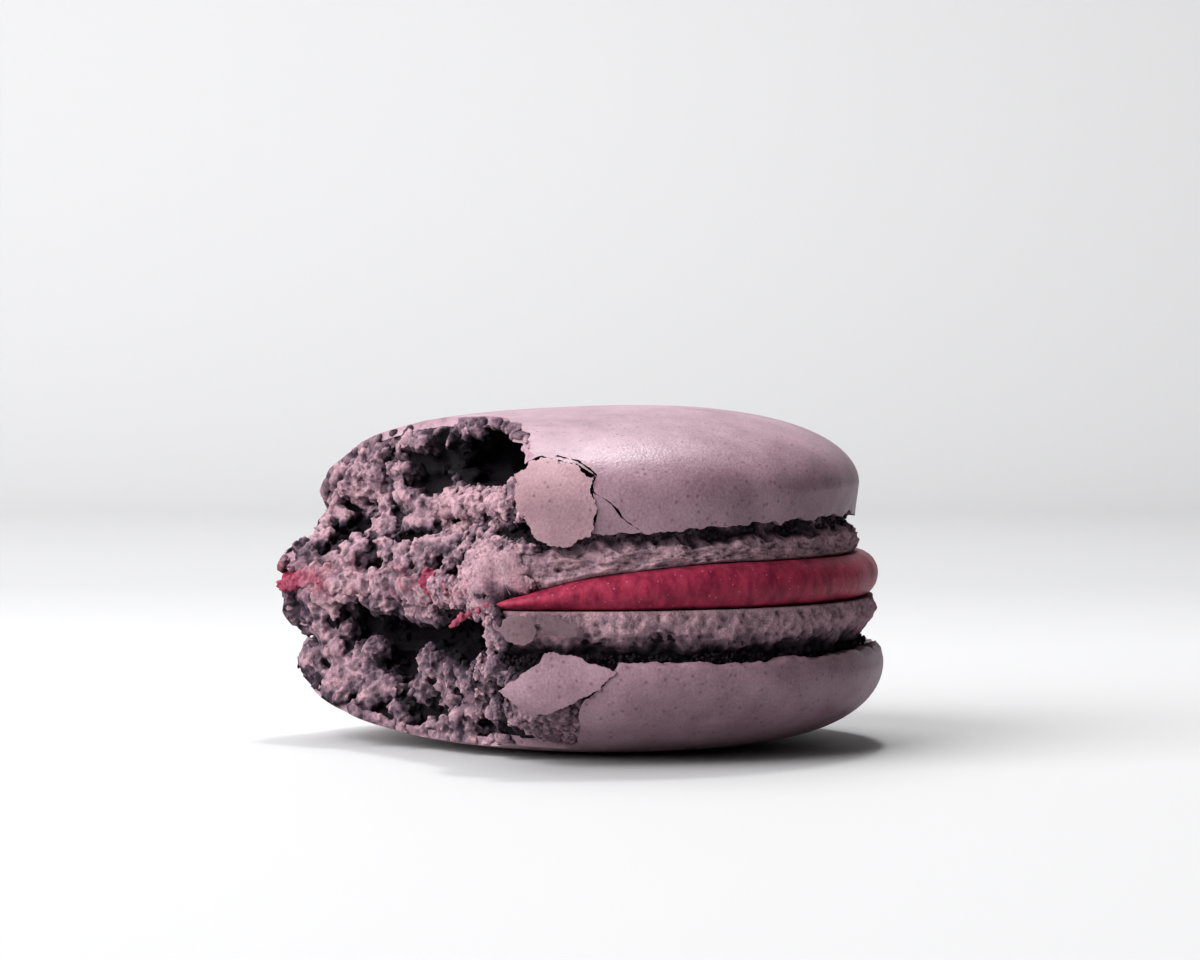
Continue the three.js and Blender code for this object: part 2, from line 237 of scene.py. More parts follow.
def prism(name: str, outline: Outline, near: float, far: float) -> bpy.types.Object:
    """A closed block drawn from the front and carried back from near to far along Y."""
    piece = drawn(name, outline, closed=True)
    bpy.ops.mesh.select_all(action="SELECT")
    bpy.ops.transform.translate(value=(0.0, near, 0.0))
    bpy.ops.mesh.extrude_region_move(TRANSFORM_OT_translate={"value": (0.0, far - near, 0.0)})
    bpy.ops.mesh.select_all(action="SELECT")
    bpy.ops.mesh.quads_convert_to_tris()
    tidy_normals()
    bpy.ops.object.mode_set(mode="OBJECT")
    return piece


def ease(value: np.ndarray | float, start: float, end: float) -> np.ndarray:
    """Goes from 0 to 1 as a value goes from start to end, easing at both ends."""
    share = np.clip((np.asarray(value) - start) / (end - start), 0.0, 1.0)
    return share * share * (3.0 - 2.0 * share)


def cell_hash(cells: np.ndarray, salt: int) -> np.ndarray:
    """Repeatable random numbers from 0 to 1 for whole-number cells in rows of x, y, z."""
    mixed = cells[..., 0] * 73856093 ^ cells[..., 1] * 19349663 ^ cells[..., 2] * 83492791
    mixed = (mixed + salt * 2654435761) & 0xFFFFFFFF
    mixed = ((mixed ^ (mixed >> 15)) * 2246822519) & 0xFFFFFFFF
    mixed = ((mixed ^ (mixed >> 13)) * 3266489917) & 0xFFFFFFFF
    return (mixed ^ (mixed >> 16)) / 0xFFFFFFFF


def lumps(points: np.ndarray, size: float, seed: int = 0) -> np.ndarray:
    """A smooth random height for each point.

    Args:
        points: Rows of x, y, z in millimetres.
        size: About how many millimetres one lump is across.
        seed: Another seed gives another pattern.

    Returns:
        One height for each point, mostly from -1 to 1.
    """
    scaled = points / size + 0.37
    cells = np.floor(scaled).astype(np.int64)
    inside = scaled - cells
    blend = inside**3 * (inside * (inside * 6.0 - 15.0) + 10.0)
    total = np.zeros(len(points))
    for corner in np.ndindex(2, 2, 2):
        offset = np.array(corner)
        slopes = [2.0 * cell_hash(cells + offset, 3 * seed + axis) - 1.0 for axis in range(3)]
        value = sum(slopes[axis] * (inside[:, axis] - offset[axis]) for axis in range(3))
        weight = np.prod(np.where(offset == 1, blend, 1.0 - blend), axis=1)
        total += value * weight
    return 1.9 * total


def pits(points: np.ndarray, size: float, seed: int = 0) -> np.ndarray:
    """How far each point is from the nearest of many scattered pores, in cell sizes."""
    scaled = points / size
    cells = np.floor(scaled).astype(np.int64)
    nearest = np.full(len(points), 9.0)
    for offset in np.ndindex(3, 3, 3):
        cell = cells + np.array(offset) - 1
        spots = np.stack([cell_hash(cell, 7 * seed + axis) for axis in range(3)], axis=1)
        nearest = np.minimum(nearest, np.linalg.norm(cell + spots - scaled, axis=1))
    return nearest


def pushed_out(points: np.ndarray, centre_x: float, distance: np.ndarray) -> np.ndarray:
    """Moves points away from, or towards, the upright line at centre_x."""
    across = points[:, 0] - centre_x
    radius = np.hypot(across, points[:, 1])
    scale = np.where(radius > 1.0, (radius + distance) / np.maximum(radius, 1.0), 1.0)
    return np.stack([centre_x + across * scale, points[:, 1] * scale, points[:, 2]], axis=1)


def jagged(outline: Outline, size: float, seed: int, closed: bool = True) -> list[tuple[float, float]]:
    """An outline with a fine, broken edge, made by moving the middle of each side in turn.

    Args:
        outline: The plain outline as x and z.
        size: How far the first middles move for each millimetre of side.
        seed: Another seed breaks it another way.
        closed: Whether the last point is tied to the first one.

    Returns:
        The outline with about sixteen times as many points.
    """
    random = np.random.default_rng(seed)
    points = np.array(outline, dtype=float)
    for level in range(4):
        following = np.roll(points, -1, axis=0)
        sides = following - points
        lengths = np.linalg.norm(sides, axis=1, keepdims=True)
        across = np.stack([-sides[:, 1], sides[:, 0]], axis=1)
        reach = size * 1.3**level
        middles = points + 0.5 * sides + across * random.uniform(-reach, reach, lengths.shape)
        woven = np.empty((2 * len(points), 2))
        woven[0::2], woven[1::2] = points, middles
        points = woven if closed else woven[:-1]
    return [(float(x), float(z)) for x, z in points]


def grain_mesh(name: str, places: np.ndarray, sizes: np.ndarray, seed: int, detail: int) -> bpy.types.Object:
    """Many rough little balls in one mesh.

    Args:
        name: The new object's name.
        places: Rows of x, y, z.
        sizes: One radius for each place.
        seed: For the balls' turns and proportions.
        detail: How finely each ball is made, 1 for 20 faces and 2 for 80.

    Returns:
        The new object.
    """
    deselect_all()
    bpy.ops.mesh.primitive_ico_sphere_add(subdivisions=detail, radius=1.0, location=(0.0, 0.0, 0.0))
    ball = bpy.context.active_object
    corners = corners_of(ball)
    faces = np.array([face.vertices[:] for face in ball.data.polygons])
    random = np.random.default_rng(seed)
    count = len(places)
    stretch = random.uniform(0.72, 1.25, (count, 1, 3))
    axes = random.normal(size=(count, 3, 3))
    turns = np.linalg.qr(axes)[0]
    turns[:, :, 0] *= np.sign(np.linalg.det(turns))[:, None]
    bumpy = corners[None] * (1.0 + random.uniform(-0.25, 0.25, (count, len(corners), 1)))
    shaped = np.einsum("nij,nkj->nki", turns, bumpy * stretch) * sizes[:, None, None]
    all_corners = (shaped + places[:, None, :]).reshape(-1, 3)
    all_faces = (faces[None] + len(corners) * np.arange(count)[:, None, None]).reshape(-1, 3)
    mesh = bpy.data.meshes.new(name)
    mesh.vertices.add(len(all_corners))
    mesh.vertices.foreach_set("co", all_corners.ravel())
    mesh.loops.add(all_faces.size)
    mesh.loops.foreach_set("vertex_index", all_faces.ravel().astype(np.int32))
    mesh.polygons.add(len(all_faces))
    mesh.polygons.foreach_set("loop_start", np.arange(0, all_faces.size, 3, dtype=np.int32))
    mesh.update(calc_edges=True)
    old = ball.data
    ball.data = mesh
    bpy.data.meshes.remove(old)
    ball.name = name
    return ball


def surface_samples(
    piece: bpy.types.Object, count: int, seed: int, wanted: Callable[[np.ndarray, np.ndarray], np.ndarray]
) -> tuple[np.ndarray, np.ndarray]:
    """Random points spread evenly over some of the faces of a piece.

    Args:
        piece: The object to sample.
        count: How many points to try.
        seed: For the random numbers.
        wanted: Takes points and face normals and returns how likely each point is kept.

    Returns:
        The kept points and the normals of their faces.
    """
    mesh = piece.data
    mesh.calc_loop_triangles()
    triangles = np.empty(len(mesh.loop_triangles) * 3, dtype=np.int32)
    mesh.loop_triangles.foreach_get("vertices", triangles)
    a, b, c = corners_of(piece)[triangles.reshape(-1, 3)].transpose(1, 0, 2)
    crossed = np.cross(b - a, c - a)
    areas = np.linalg.norm(crossed, axis=1)
    random = np.random.default_rng(seed)
    chosen = random.choice(len(areas), count, p=areas / areas.sum())
    u, v = random.random((2, count, 1))
    over = u + v > 1.0
    u, v = np.where(over, 1.0 - u, u), np.where(over, 1.0 - v, v)
    points = a[chosen] + u * (b - a)[chosen] + v * (c - a)[chosen]
    normals = crossed[chosen] / np.maximum(areas[chosen], 1e-12)[:, None]
    kept = random.random(count) < wanted(points, normals)
    return points[kept], normals[kept]


def faces_of(piece: bpy.types.Object) -> int:
    """How many triangles a piece has."""
    return sum(len(face.vertices) - 2 for face in piece.data.polygons)


def thinned(piece: bpy.types.Object, most: int) -> bpy.types.Object:
    """Takes out the flattest faces of a piece until it has at most this many triangles."""
    count = faces_of(piece)
    if count > most:
        with_modifier(piece, "DECIMATE", ratio=most / count)
    return piece


def finished(
    piece: bpy.types.Object, node: str, material: bpy.types.Material, smooth: float | None = 40.0
) -> bpy.types.Object:
    """Brings a shaped piece to metres, dresses it and ties it to the part.

    Args:
        piece: The object, shaped in millimetres.
        node: The CAD node that it stands for, which is hidden.
        material: Its finish.
        smooth: The angle in degrees up to which edges are shaded smooth, or None for all.

    Returns:
        The same object.
    """
    reshape(piece, lambda points: (points + PART_SHIFT) * MM)
    pick(piece)
    if smooth is None:
        bpy.ops.object.shade_smooth()
    else:
        bpy.ops.object.shade_smooth_by_angle(angle=math.radians(smooth))
    piece.data.materials.clear()
    piece.data.materials.append(material)
    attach(piece, "root")
    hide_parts(node)
    log.info("%s: %d triangles", piece.name, faces_of(piece))
    return piece


def fine(outline: Outline, spacing: float) -> list[tuple[float, float]]:
    """The same outline with points no further apart than spacing."""
    points: list[tuple[float, float]] = [outline[0]]
    for (x0, z0), (x1, z1) in zip(outline, outline[1:]):
        cuts = max(1, math.ceil(math.hypot(x1 - x0, z1 - z0) / spacing))
        points += [(x0 + (x1 - x0) * cut / cuts, z0 + (z1 - z0) * cut / cuts) for cut in range(1, cuts + 1)]
    return points


def mark(piece: bpy.types.Object, name: str, values: np.ndarray) -> None:
    """Writes one number for each corner of a piece, for its material to read."""
    attribute = piece.data.attributes.new(name=name, type="FLOAT", domain="POINT")
    attribute.data.foreach_set("value", np.asarray(values, dtype=np.float32))


# ---------------------------------------------------------------- finishes


def linear(colour: str) -> tuple[float, float, float, float]:
    """An sRGB hex colour as linear light, with full cover."""
    channels = [int(colour[start : start + 2], 16) / 255 for start in (1, 3, 5)]
    return (*(c / 12.92 if c <= 0.04045 else ((c + 0.055) / 1.055) ** 2.4 for c in channels), 1.0)


def add_node(
    tree: bpy.types.NodeTree,
    kind: str,
    settings: dict[str, object] | None = None,
    inputs: dict[str | int, object] | None = None,
) -> bpy.types.Node:
    """Adds a node, sets its properties, and fills or links its inputs.

    Args:
        tree: The node tree that it goes into.
        kind: The node's type.
        settings: Values for the node's own properties.
        inputs: A value, or an output to link from, for each input by name or number.

    Returns:
        The new node.
    """
    node = tree.nodes.new(kind)
    for name, value in (settings or {}).items():
        setattr(node, name, value)
    for key, value in (inputs or {}).items():
        if isinstance(value, bpy.types.NodeSocket):
            tree.links.new(value, node.inputs[key])
        else:
            node.inputs[key].default_value = value
    return node


def blank_material(name: str) -> tuple[bpy.types.Material, bpy.types.NodeTree]:
    """A new material with an empty node tree."""
    material = bpy.data.materials.new(name)
    material.use_nodes = True
    material.node_tree.nodes.clear()
    return material, material.node_tree


def set_ramp(node: bpy.types.Node, stops: Sequence[tuple[float, str]]) -> bpy.types.Node:
    """Gives a colour ramp its stops, as a place from 0 to 1 and a hex colour."""
    ramp = node.color_ramp
    while len(ramp.elements) > 1:
        ramp.elements.remove(ramp.elements[-1])
    ramp.elements[0].position, ramp.elements[0].color = stops[0][0], linear(stops[0][1])
    for place, colour in stops[1:]:
        ramp.elements.new(place).color = linear(colour)
    return node


@dataclass(frozen=True)
class CrustFinish:
    """Baked almond meringue: a thin satin skin, mottled, with ground almond showing through."""

    name: str = "baked_almond_crust"
    pale: str = "#967884"
    deep: str = "#7a5e68"
    speck: str = "#5f4550"
    mottle: float = 4.5  # mm, the broad cloudy patches of the colour
    grain: float = 0.2  # mm, the ground almond just under the skin
    roughness: float = 0.46
    coat: float = 0.1

    def material(self) -> bpy.types.Material:
        """The finish as a node material; its fine grain breaks up a soft, broad highlight."""
        material, tree = blank_material(self.name)
        place = add_node(tree, "ShaderNodeTexCoord").outputs["Object"]
        patches = add_node(
            tree,
            "ShaderNodeTexNoise",
            inputs={"Vector": place, "Scale": 1 / (self.mottle * MM), "Detail": 5.0, "Roughness": 0.62},
        )
        colour = set_ramp(
            add_node(tree, "ShaderNodeValToRGB", inputs={"Fac": patches.outputs["Fac"]}),
            [(0.34, self.deep), (0.66, self.pale)],
        )
        grain = add_node(
            tree,
            "ShaderNodeTexNoise",
            inputs={"Vector": place, "Scale": 1 / (self.grain * MM), "Detail": 2.0, "Roughness": 0.6},
        )
        specks = add_node(
            tree,
            "ShaderNodeTexVoronoi",
            inputs={"Vector": place, "Scale": 1 / (0.75 * MM), "Randomness": 1.0},
        )
        dots = add_node(
            tree,
            "ShaderNodeMapRange",
            inputs={"Value": specks.outputs["Distance"], "From Min": 0.1, "From Max": 0.23, "To Min": 0.7, "To Max": 0.0},
        )
        grained = add_node(
            tree,
            "ShaderNodeMixRGB",
            {"blend_type": "SOFT_LIGHT"},
            {"Fac": 0.5, "Color1": colour.outputs["Color"], "Color2": grain.outputs["Fac"]},
        )
        spotted = add_node(
            tree,
            "ShaderNodeMixRGB",
            inputs={"Fac": dots.outputs["Result"], "Color1": grained.outputs["Color"], "Color2": linear(self.speck)},
        )
        gloss = add_node(
            tree,
            "ShaderNodeMapRange",
            inputs={
                "Value": grain.outputs["Fac"],
                "From Min": 0.3,
                "From Max": 0.7,
                "To Min": self.roughness - 0.08,
                "To Max": self.roughness + 0.12,
            },
        )
        waves = add_node(
            tree,
            "ShaderNodeTexNoise",
            inputs={"Vector": place, "Scale": 1 / (1.6 * MM), "Detail": 3.0, "Roughness": 0.5},
        )
        broad = add_node(
            tree, "ShaderNodeBump", inputs={"Strength": 0.35, "Distance": 0.12 * MM, "Height": waves.outputs["Fac"]}
        )
        close = add_node(
            tree,
            "ShaderNodeBump",
            inputs={
                "Strength": 0.8,
                "Distance": 0.04 * MM,
                "Height": grain.outputs["Fac"],
                "Normal": broad.outputs["Normal"],
            },
        )
        skin = add_node(
            tree,
            "ShaderNodeBsdfPrincipled",
            inputs={
                "Base Color": spotted.outputs["Color"],
                "Roughness": gloss.outputs["Result"],
                "IOR": 1.45,
                "Specular IOR Level": 0.3,
                "Coat Weight": self.coat,
                "Coat Roughness": 0.2,
                "Coat Normal": close.outputs["Normal"],
                "Normal": close.outputs["Normal"],
            },
        )
        add_node(tree, "ShaderNodeOutputMaterial", inputs={"Surface": skin.outputs["BSDF"]})
        return material


@dataclass(frozen=True)
class CrumbFinish:
    """Torn almond sponge: matt grains, pale on their tips, with painted shade from purple to nearly black where they
    lie deep.
    """

    name: str = "torn_almond_crumb"
    tip: str = "#a8868f"
    body: str = "#735c66"
    # the shade and deep colours are painted shade, for grains that lie deep in pits, hollows and gaps
    shade: str = "#372c35"
    deep: str = "#120e13"
    stain: str = "#d96c8a"  # what the filling's red leaves of the crumb's own colour
    reach: float = 2.0  # mm below the torn face at which the painted shade is darkest
    clump: float = 1.3  # mm, patches of one tone
    grain: float = 0.2  # mm, single grains
    roughness: float = 0.85

    def material(self) -> bpy.types.Material:
        """The finish as a node material; rough grains keep it free of any highlight."""
        material, tree = blank_material(self.name)
        place = add_node(tree, "ShaderNodeTexCoord").outputs["Object"]
        clumps = add_node(
            tree,
            "ShaderNodeTexNoise",
            inputs={"Vector": place, "Scale": 1 / (self.clump * MM), "Detail": 4.0, "Roughness": 0.65},
        )
        grains = add_node(
            tree,
            "ShaderNodeTexNoise",
            inputs={"Vector": place, "Scale": 1 / (self.grain * MM), "Detail": 3.0, "Roughness": 0.65},
        )
        # the depth mark becomes painted shade: pits, hollows and gaps are painted darker, down to nearly black
        depth = add_node(tree, "ShaderNodeAttribute", {"attribute_name": "depth"})
        painted_shade = add_node(
            tree,
            "ShaderNodeMapRange",
            inputs={
                "Value": depth.outputs["Fac"],
                "From Min": -0.4,
                "From Max": self.reach,
                "To Min": 0.0,
                "To Max": 0.85,
            },
        )
        uneven = add_node(
            tree,
            "ShaderNodeMath",
            {"operation": "MULTIPLY_ADD"},
            {0: clumps.outputs["Fac"], 1: 0.45, 2: painted_shade.outputs["Result"]},
        )
        tone = add_node(
            tree,
            "ShaderNodeMath",
            {"operation": "MULTIPLY_ADD"},
            {0: grains.outputs["Fac"], 1: 0.35, 2: uneven.outputs["Value"]},
        )
        colour = set_ramp(
            add_node(tree, "ShaderNodeValToRGB", inputs={"Fac": tone.outputs["Value"]}),
            [(0.32, self.tip), (0.5, self.body), (0.73, self.shade), (1.0, self.deep)],
        )
        stain = add_node(tree, "ShaderNodeAttribute", {"attribute_name": "stain"})
        soaked = add_node(
            tree,
            "ShaderNodeMixRGB",
            {"blend_type": "MULTIPLY"},
            {"Fac": stain.outputs["Fac"], "Color1": colour.outputs["Color"], "Color2": linear(self.stain)},
        )
        bump = add_node(
            tree, "ShaderNodeBump", inputs={"Strength": 1.0, "Distance": 0.13 * MM, "Height": grains.outputs["Fac"]}
        )
        sponge = add_node(
            tree,
            "ShaderNodeBsdfPrincipled",
            inputs={
                "Base Color": soaked.outputs["Color"],
                "Roughness": self.roughness,
                "IOR": 1.4,
                "Specular IOR Level": 0.15,
                "Normal": bump.outputs["Normal"],
            },
        )
        add_node(tree, "ShaderNodeOutputMaterial", inputs={"Surface": sponge.outputs["BSDF"]})
        return material


@dataclass(frozen=True)
class FillingFinish:
    """Set raspberry filling: moist and a little glossy, with fine pulp and sugar grains."""

    name: str = "set_raspberry_filling"
    bright: str = "#9a3048"
    deep: str = "#66182e"
    sugar: str = "#e3a3b2"
    pulp: float = 0.9  # mm, streaks of fruit pulp
    grain: float = 0.2  # mm, sugar grains
    roughness: float = 0.4

    def material(self) -> bpy.types.Material:
        """The finish as a node material; sugar grains catch small sparks of light."""
        material, tree = blank_material(self.name)
        place = add_node(tree, "ShaderNodeTexCoord").outputs["Object"]
        stretched = add_node(
            tree, "ShaderNodeMapping", inputs={"Vector": place, "Scale": (1.0, 1.0, 0.45)}
        )
        pulp = add_node(
            tree,
            "ShaderNodeTexNoise",
            inputs={
                "Vector": stretched.outputs["Vector"],
                "Scale": 1 / (self.pulp * MM),
                "Detail": 5.0,
                "Roughness": 0.65,
            },
        )
        colour = set_ramp(
            add_node(tree, "ShaderNodeValToRGB", inputs={"Fac": pulp.outputs["Fac"]}),
            [(0.35, self.deep), (0.65, self.bright)],
        )
        sugar = add_node(
            tree,
            "ShaderNodeTexVoronoi",
            inputs={"Vector": place, "Scale": 1 / (self.grain * 2.6 * MM), "Randomness": 1.0},
        )
        sparks = add_node(
            tree,
            "ShaderNodeMapRange",
            inputs={"Value": sugar.outputs["Distance"], "From Min": 0.05, "From Max": 0.16, "To Min": 0.3, "To Max": 0.0},
        )
        sugared = add_node(
            tree,
            "ShaderNodeMixRGB",
            inputs={"Fac": sparks.outputs["Result"], "Color1": colour.outputs["Color"], "Color2": linear(self.sugar)},
        )
        grains = add_node(
            tree,
            "ShaderNodeTexNoise",
            inputs={"Vector": place, "Scale": 1 / (self.grain * MM), "Detail": 3.0, "Roughness": 0.6},
        )
        relief = add_node(
            tree, "ShaderNodeBump", inputs={"Strength": 0.7, "Distance": 0.07 * MM, "Height": grains.outputs["Fac"]}
        )
        jelly = add_node(
            tree,
            "ShaderNodeBsdfPrincipled",
            inputs={
                "Base Color": sugared.outputs["Color"],
                "Roughness": self.roughness,
                "IOR": 1.42,
                "Specular IOR Level": 0.12,
                "Normal": relief.outputs["Normal"],
            },
        )
        add_node(tree, "ShaderNodeOutputMaterial", inputs={"Surface": jelly.outputs["BSDF"]})
        return material


@dataclass(frozen=True)
class Finishes:
    """The finishes of the macaron, made once."""

    crust: bpy.types.Material
    crumb: bpy.types.Material
    filling: bpy.types.Material
    shreds: bpy.types.Material
    loose_crust: bpy.types.Material
    painted_shade_plates: bpy.types.Material

    @classmethod
    def make(cls) -> "Finishes":
        """Builds every finish."""
        torn = FillingFinish("torn_raspberry_filling", bright="#93495b", deep="#6c2238", roughness=0.7)
        # the loose plate on the dome is a paler copy of the crust
        loose = CrustFinish("paler_loose_crust", pale="#a4838b", deep="#8a6a72", roughness=0.6, coat=0.0)
        # painted shade: a darker copy of the crust for the small plates in the shadow under the filling
        rough = CrustFinish("rough_plate_painted_shade", pale="#7c636a", deep="#654f56", grain=0.3, roughness=0.8, coat=0.0)
        return cls(
            CrustFinish().material(),
            CrumbFinish().material(),
            FillingFinish().material(),
            torn.material(),
            loose.material(),
            rough.material(),
        )


# ---------------------------------------------------------------- the bite


@dataclass(frozen=True)
class BiteSection:
    """The bite at one height: where it meets the outside, and how deep it curves in."""

    height: float
    near: tuple[float, float]
    far: tuple[float, float]
    depth: float


@dataclass(frozen=True)
class Hollow:
    """A hollow or a lump in the torn face: its middle, and half its length, depth and height."""

    along: float
    height: float
    inward: float
    half: tuple[float, float, float]


@dataclass
class Bite:
    """The bitten face, as a curved sheet from the front (0) to the left (1)."""

    sections: tuple[BiteSection, ...] = (
        BiteSection(-2.0, (-2.9, -17.5), (-17.0, -2.5), 2.0),
        BiteSection(2.5, (-3.9, -19.5), (-19.2, -1.5), 2.4),
        BiteSection(6.0, (-5.0, -21.3), (-21.3, 3.5), 3.0),
        BiteSection(10.0, (-6.2, -20.7), (-22.0, 4.2), 3.2),
        BiteSection(12.5, (-6.8, -20.2), (-22.9, 4.2), 2.6),
        BiteSection(15.0, (-6.4, -19.6), (-21.6, 5.5), 2.4),
        BiteSection(17.0, (-4.2, -20.1), (-19.4, 8.8), 2.3),
        BiteSection(21.0, (-3.3, -19.9), (-20.0, 8.7), 2.1),
        BiteSection(27.0, (-0.6, -19.2), (-19.2, 8.8), 1.8),
    )
    past: float = 0.25  # how far the sheet runs past each end, as a share of its length
    away: float = 24.0  # how far the block that is bitten off reaches outwards
    columns: np.ndarray = field(init=False)

    def __post_init__(self) -> None:
        """Keeps the sections as columns of numbers."""
        self.columns = np.array([(s.height, *s.near, *s.far, s.depth) for s in self.sections]).T

    def _lines(self, height: np.ndarray) -> list[np.ndarray]:
        """The near point, far point and depth at each height."""
        return [np.interp(height, self.columns[0], column) for column in self.columns[1:]]

    def place(self, along: np.ndarray, height: np.ndarray, inward: np.ndarray | float = 0.0) -> np.ndarray:
        """The points at a share of the face's length, a height and a distance inward."""
        near_x, near_y, far_x, far_y, depth = self._lines(height)
        run_x, run_y = far_x - near_x, far_y - near_y
        length = np.hypot(run_x, run_y)
        held = np.clip(along, 0.0, 1.0)
        into = 4.0 * depth * held * (1.0 - held) + inward
        x = near_x + run_x * along + run_y / length * into
        y = near_y + run_y * along - run_x / length * into
        return np.stack([x, y, height], axis=1)

    def read(self, points: np.ndarray) -> tuple[np.ndarray, np.ndarray]:
        """How far along the face, and how far inward of it, each point lies."""
        near_x, near_y, far_x, far_y, depth = self._lines(points[:, 2])
        run_x, run_y = far_x - near_x, far_y - near_y
        length = np.hypot(run_x, run_y)
        x, y = points[:, 0] - near_x, points[:, 1] - near_y
        along = (x * run_x + y * run_y) / length**2
        held = np.clip(along, 0.0, 1.0)
        return along, (x * run_y - y * run_x) / length - 4.0 * depth * held * (1.0 - held)

    def length(self, height: np.ndarray) -> np.ndarray:
        """How long the face is at each height."""
        near_x, near_y, far_x, far_y, _ = self._lines(height)
        return np.hypot(far_x - near_x, far_y - near_y)

    def facing(self, points: np.ndarray, normals: np.ndarray) -> np.ndarray:
        """Whether each face looks out through the bite."""
        near_x, near_y, far_x, far_y, _ = self._lines(points[:, 2])
        run_x, run_y = far_x - near_x, far_y - near_y
        inwards = (normals[:, 0] * run_y - normals[:, 1] * run_x) / np.hypot(run_x, run_y)
        return inwards < -0.35

    def crags(self, points: np.ndarray) -> np.ndarray:
        """How far the torn face stands back from the plain sheet at each point."""
        return 0.8 * lumps(points, 3.4, 1) + 0.45 * lumps(points, 1.7, 2)

    def pores(self, points: np.ndarray) -> np.ndarray:
        """How much deeper than the crags the open pores of the crumb reach."""
        wide = 1.5 * ease(lumps(points, 2.1, 3), 0.12, 0.6)
        return wide + 0.9 * ease(lumps(points, 1.15, 4), 0.1, 0.55)

    def crust_line(self, points: np.ndarray) -> np.ndarray:
        """How far the crust's broken edge stands back: further at the far end low down, and over the top."""
        shorter = 1.1 * ease(self.read(points)[0], 0.84, 0.96) * ease(-points[:, 2], -19.0, -17.0)
        flaked = 0.9 * ease(points[:, 2], 22.6, 24.4)
        flaked += 0.8 * ease(self.read(points)[0], 0.42, 0.7) * ease(points[:, 2], 18.0, 20.0)
        return 0.6 * self.crags(points) + torn_edge(points) + shorter + flaked

    def sunk(self, points: np.ndarray) -> np.ndarray:
        """How far each point lies behind the crags of the torn face."""
        return self.read(points)[1] - self.crags(points)

    def cutter(self, low: float, high: float, cell: float, back: float, rough: Move) -> bpy.types.Object:
        """The block that the bite takes away, with a torn inner side.

        Args:
            low: Its lowest height.
            high: Its highest height.
            cell: How far apart the corners of its torn side are.
            back: How much deeper than the bitten face it cuts.
            rough: Gives how far the torn side stands back at each point.

        Returns:
            The block, to be taken away from a piece.
        """
        deselect_all()
        span = 1.0 + 2.0 * self.past
        bpy.ops.mesh.primitive_grid_add(
            x_subdivisions=int(30.0 * span / cell), y_subdivisions=int((high - low) / cell), size=1.0
        )
        block = bpy.context.active_object
        bpy.ops.object.mode_set(mode="EDIT")
        bpy.ops.mesh.select_mode(type="VERT")
        bpy.ops.mesh.select_all(action="SELECT")
        bpy.ops.mesh.extrude_region_move(TRANSFORM_OT_translate={"value": (0.0, 0.0, 1.0)})
        bpy.ops.object.mode_set(mode="OBJECT")

        def torn(points: np.ndarray) -> np.ndarray:
            along = (points[:, 0] + 0.5) * span - self.past
            height = low + (points[:, 1] + 0.5) * (high - low)
            sheet = self.place(along, height)
            inward = np.where(points[:, 2] < 0.5, back + rough(sheet), -self.away)
            return self.place(along, height, inward)

        reshape(block, torn)
        pick(block)
        bpy.ops.object.mode_set(mode="EDIT")
        tidy_normals()
        bpy.ops.object.mode_set(mode="OBJECT")
        return block

    def blob(self, hollow: Hollow, detail: int = 4, grow: float = 0.0) -> bpy.types.Object:
        """A rough ball for a hollow, turned to lie along the face."""
        deselect_all()
        middle, ahead = self.place(
            np.array([hollow.along, hollow.along + 0.02]), np.array([hollow.height] * 2), hollow.inward
        )
        bpy.ops.mesh.primitive_ico_sphere_add(subdivisions=detail, radius=1.0)
        ball = bpy.context.active_object
        yaw = math.atan2(ahead[1] - middle[1], ahead[0] - middle[0])
        spin = np.array([[math.cos(yaw), math.sin(yaw), 0.0], [-math.sin(yaw), math.cos(yaw), 0.0], [0.0, 0.0, 1.0]])
        half = np.array(hollow.half) + grow
        reshape(ball, lambda points: (points * half) @ spin + middle)

        def roughened(points: np.ndarray) -> np.ndarray:
            swell = 1.0 + 0.15 * lumps(points, 1.7, 5) + 0.08 * lumps(points, 0.7, 6)
            return middle + (points - middle) * swell[:, None]

        return reshape(ball, roughened)


# ---------------------------------------------------------------- sizes of the shells


@dataclass
class BowlSizes:
    """The bottom shell: a shallow bowl of crust with the foot baked on top of it."""

    centre_x: float = 0.8
    radius: float = 22.4
    widest_height: float = 6.2
    rim_height: float = 7.5
    rim_inset: float = 0.2
    flat_radius: float = 6.5
    power_right: float = 4.2
    power_left: float = 2.2
    gap_radius: float = 20.2
    foot_radius: float = 21.7
    foot_base: float = 8.8
    crust: float = 0.65

    def height(self, points: np.ndarray, grow: float = 0.0) -> np.ndarray:
        """The height of the bowl's outside under each point."""
        across = points[:, 0] - self.centre_x
        out = np.maximum(np.hypot(across, points[:, 1]), 1e-6)
        radius = self.radius + grow
        leftward = (1.0 - across / out) / 2.0
        power = self.power_right - (self.power_right - self.power_left) * leftward**1.5
        flat = (self.flat_radius / radius) ** power
        share = np.clip(((out / radius) ** power - flat) / (1.0 - flat), 0.0, 1.0)
        return -grow + (self.widest_height + grow) * (1.0 - np.sqrt(1.0 - share))


@dataclass
class DomeSizes:
    """The top shell: a dome of crust with the foot under it, leaning up to the right."""

    centre_x: float = -0.2
    radius: float = 21.7
    apex: float = 25.3
    dome_height: float = 6.5
    power: float = 2.6
    lip_drop: float = 8.65
    lip_inset: float = 0.35
    gap_radius: float = 20.3
    foot_radius: float = 21.2
    foot_drop: float = 9.75
    lean: float = 0.043
    crust: float = 0.65

    def leaned(self, points: np.ndarray, back: bool = False) -> np.ndarray:
        """Leans points up to the right about the middle of the foot, or sets them upright again."""
        x, z = points[:, 0] - self.centre_x, points[:, 2] - (self.apex - 9.0)
        cosine, sine = math.cos(self.lean), math.sin(-self.lean if back else self.lean)
        return np.stack(
            [self.centre_x + x * cosine - z * sine, points[:, 1], self.apex - 9.0 + x * sine + z * cosine], axis=1
        )


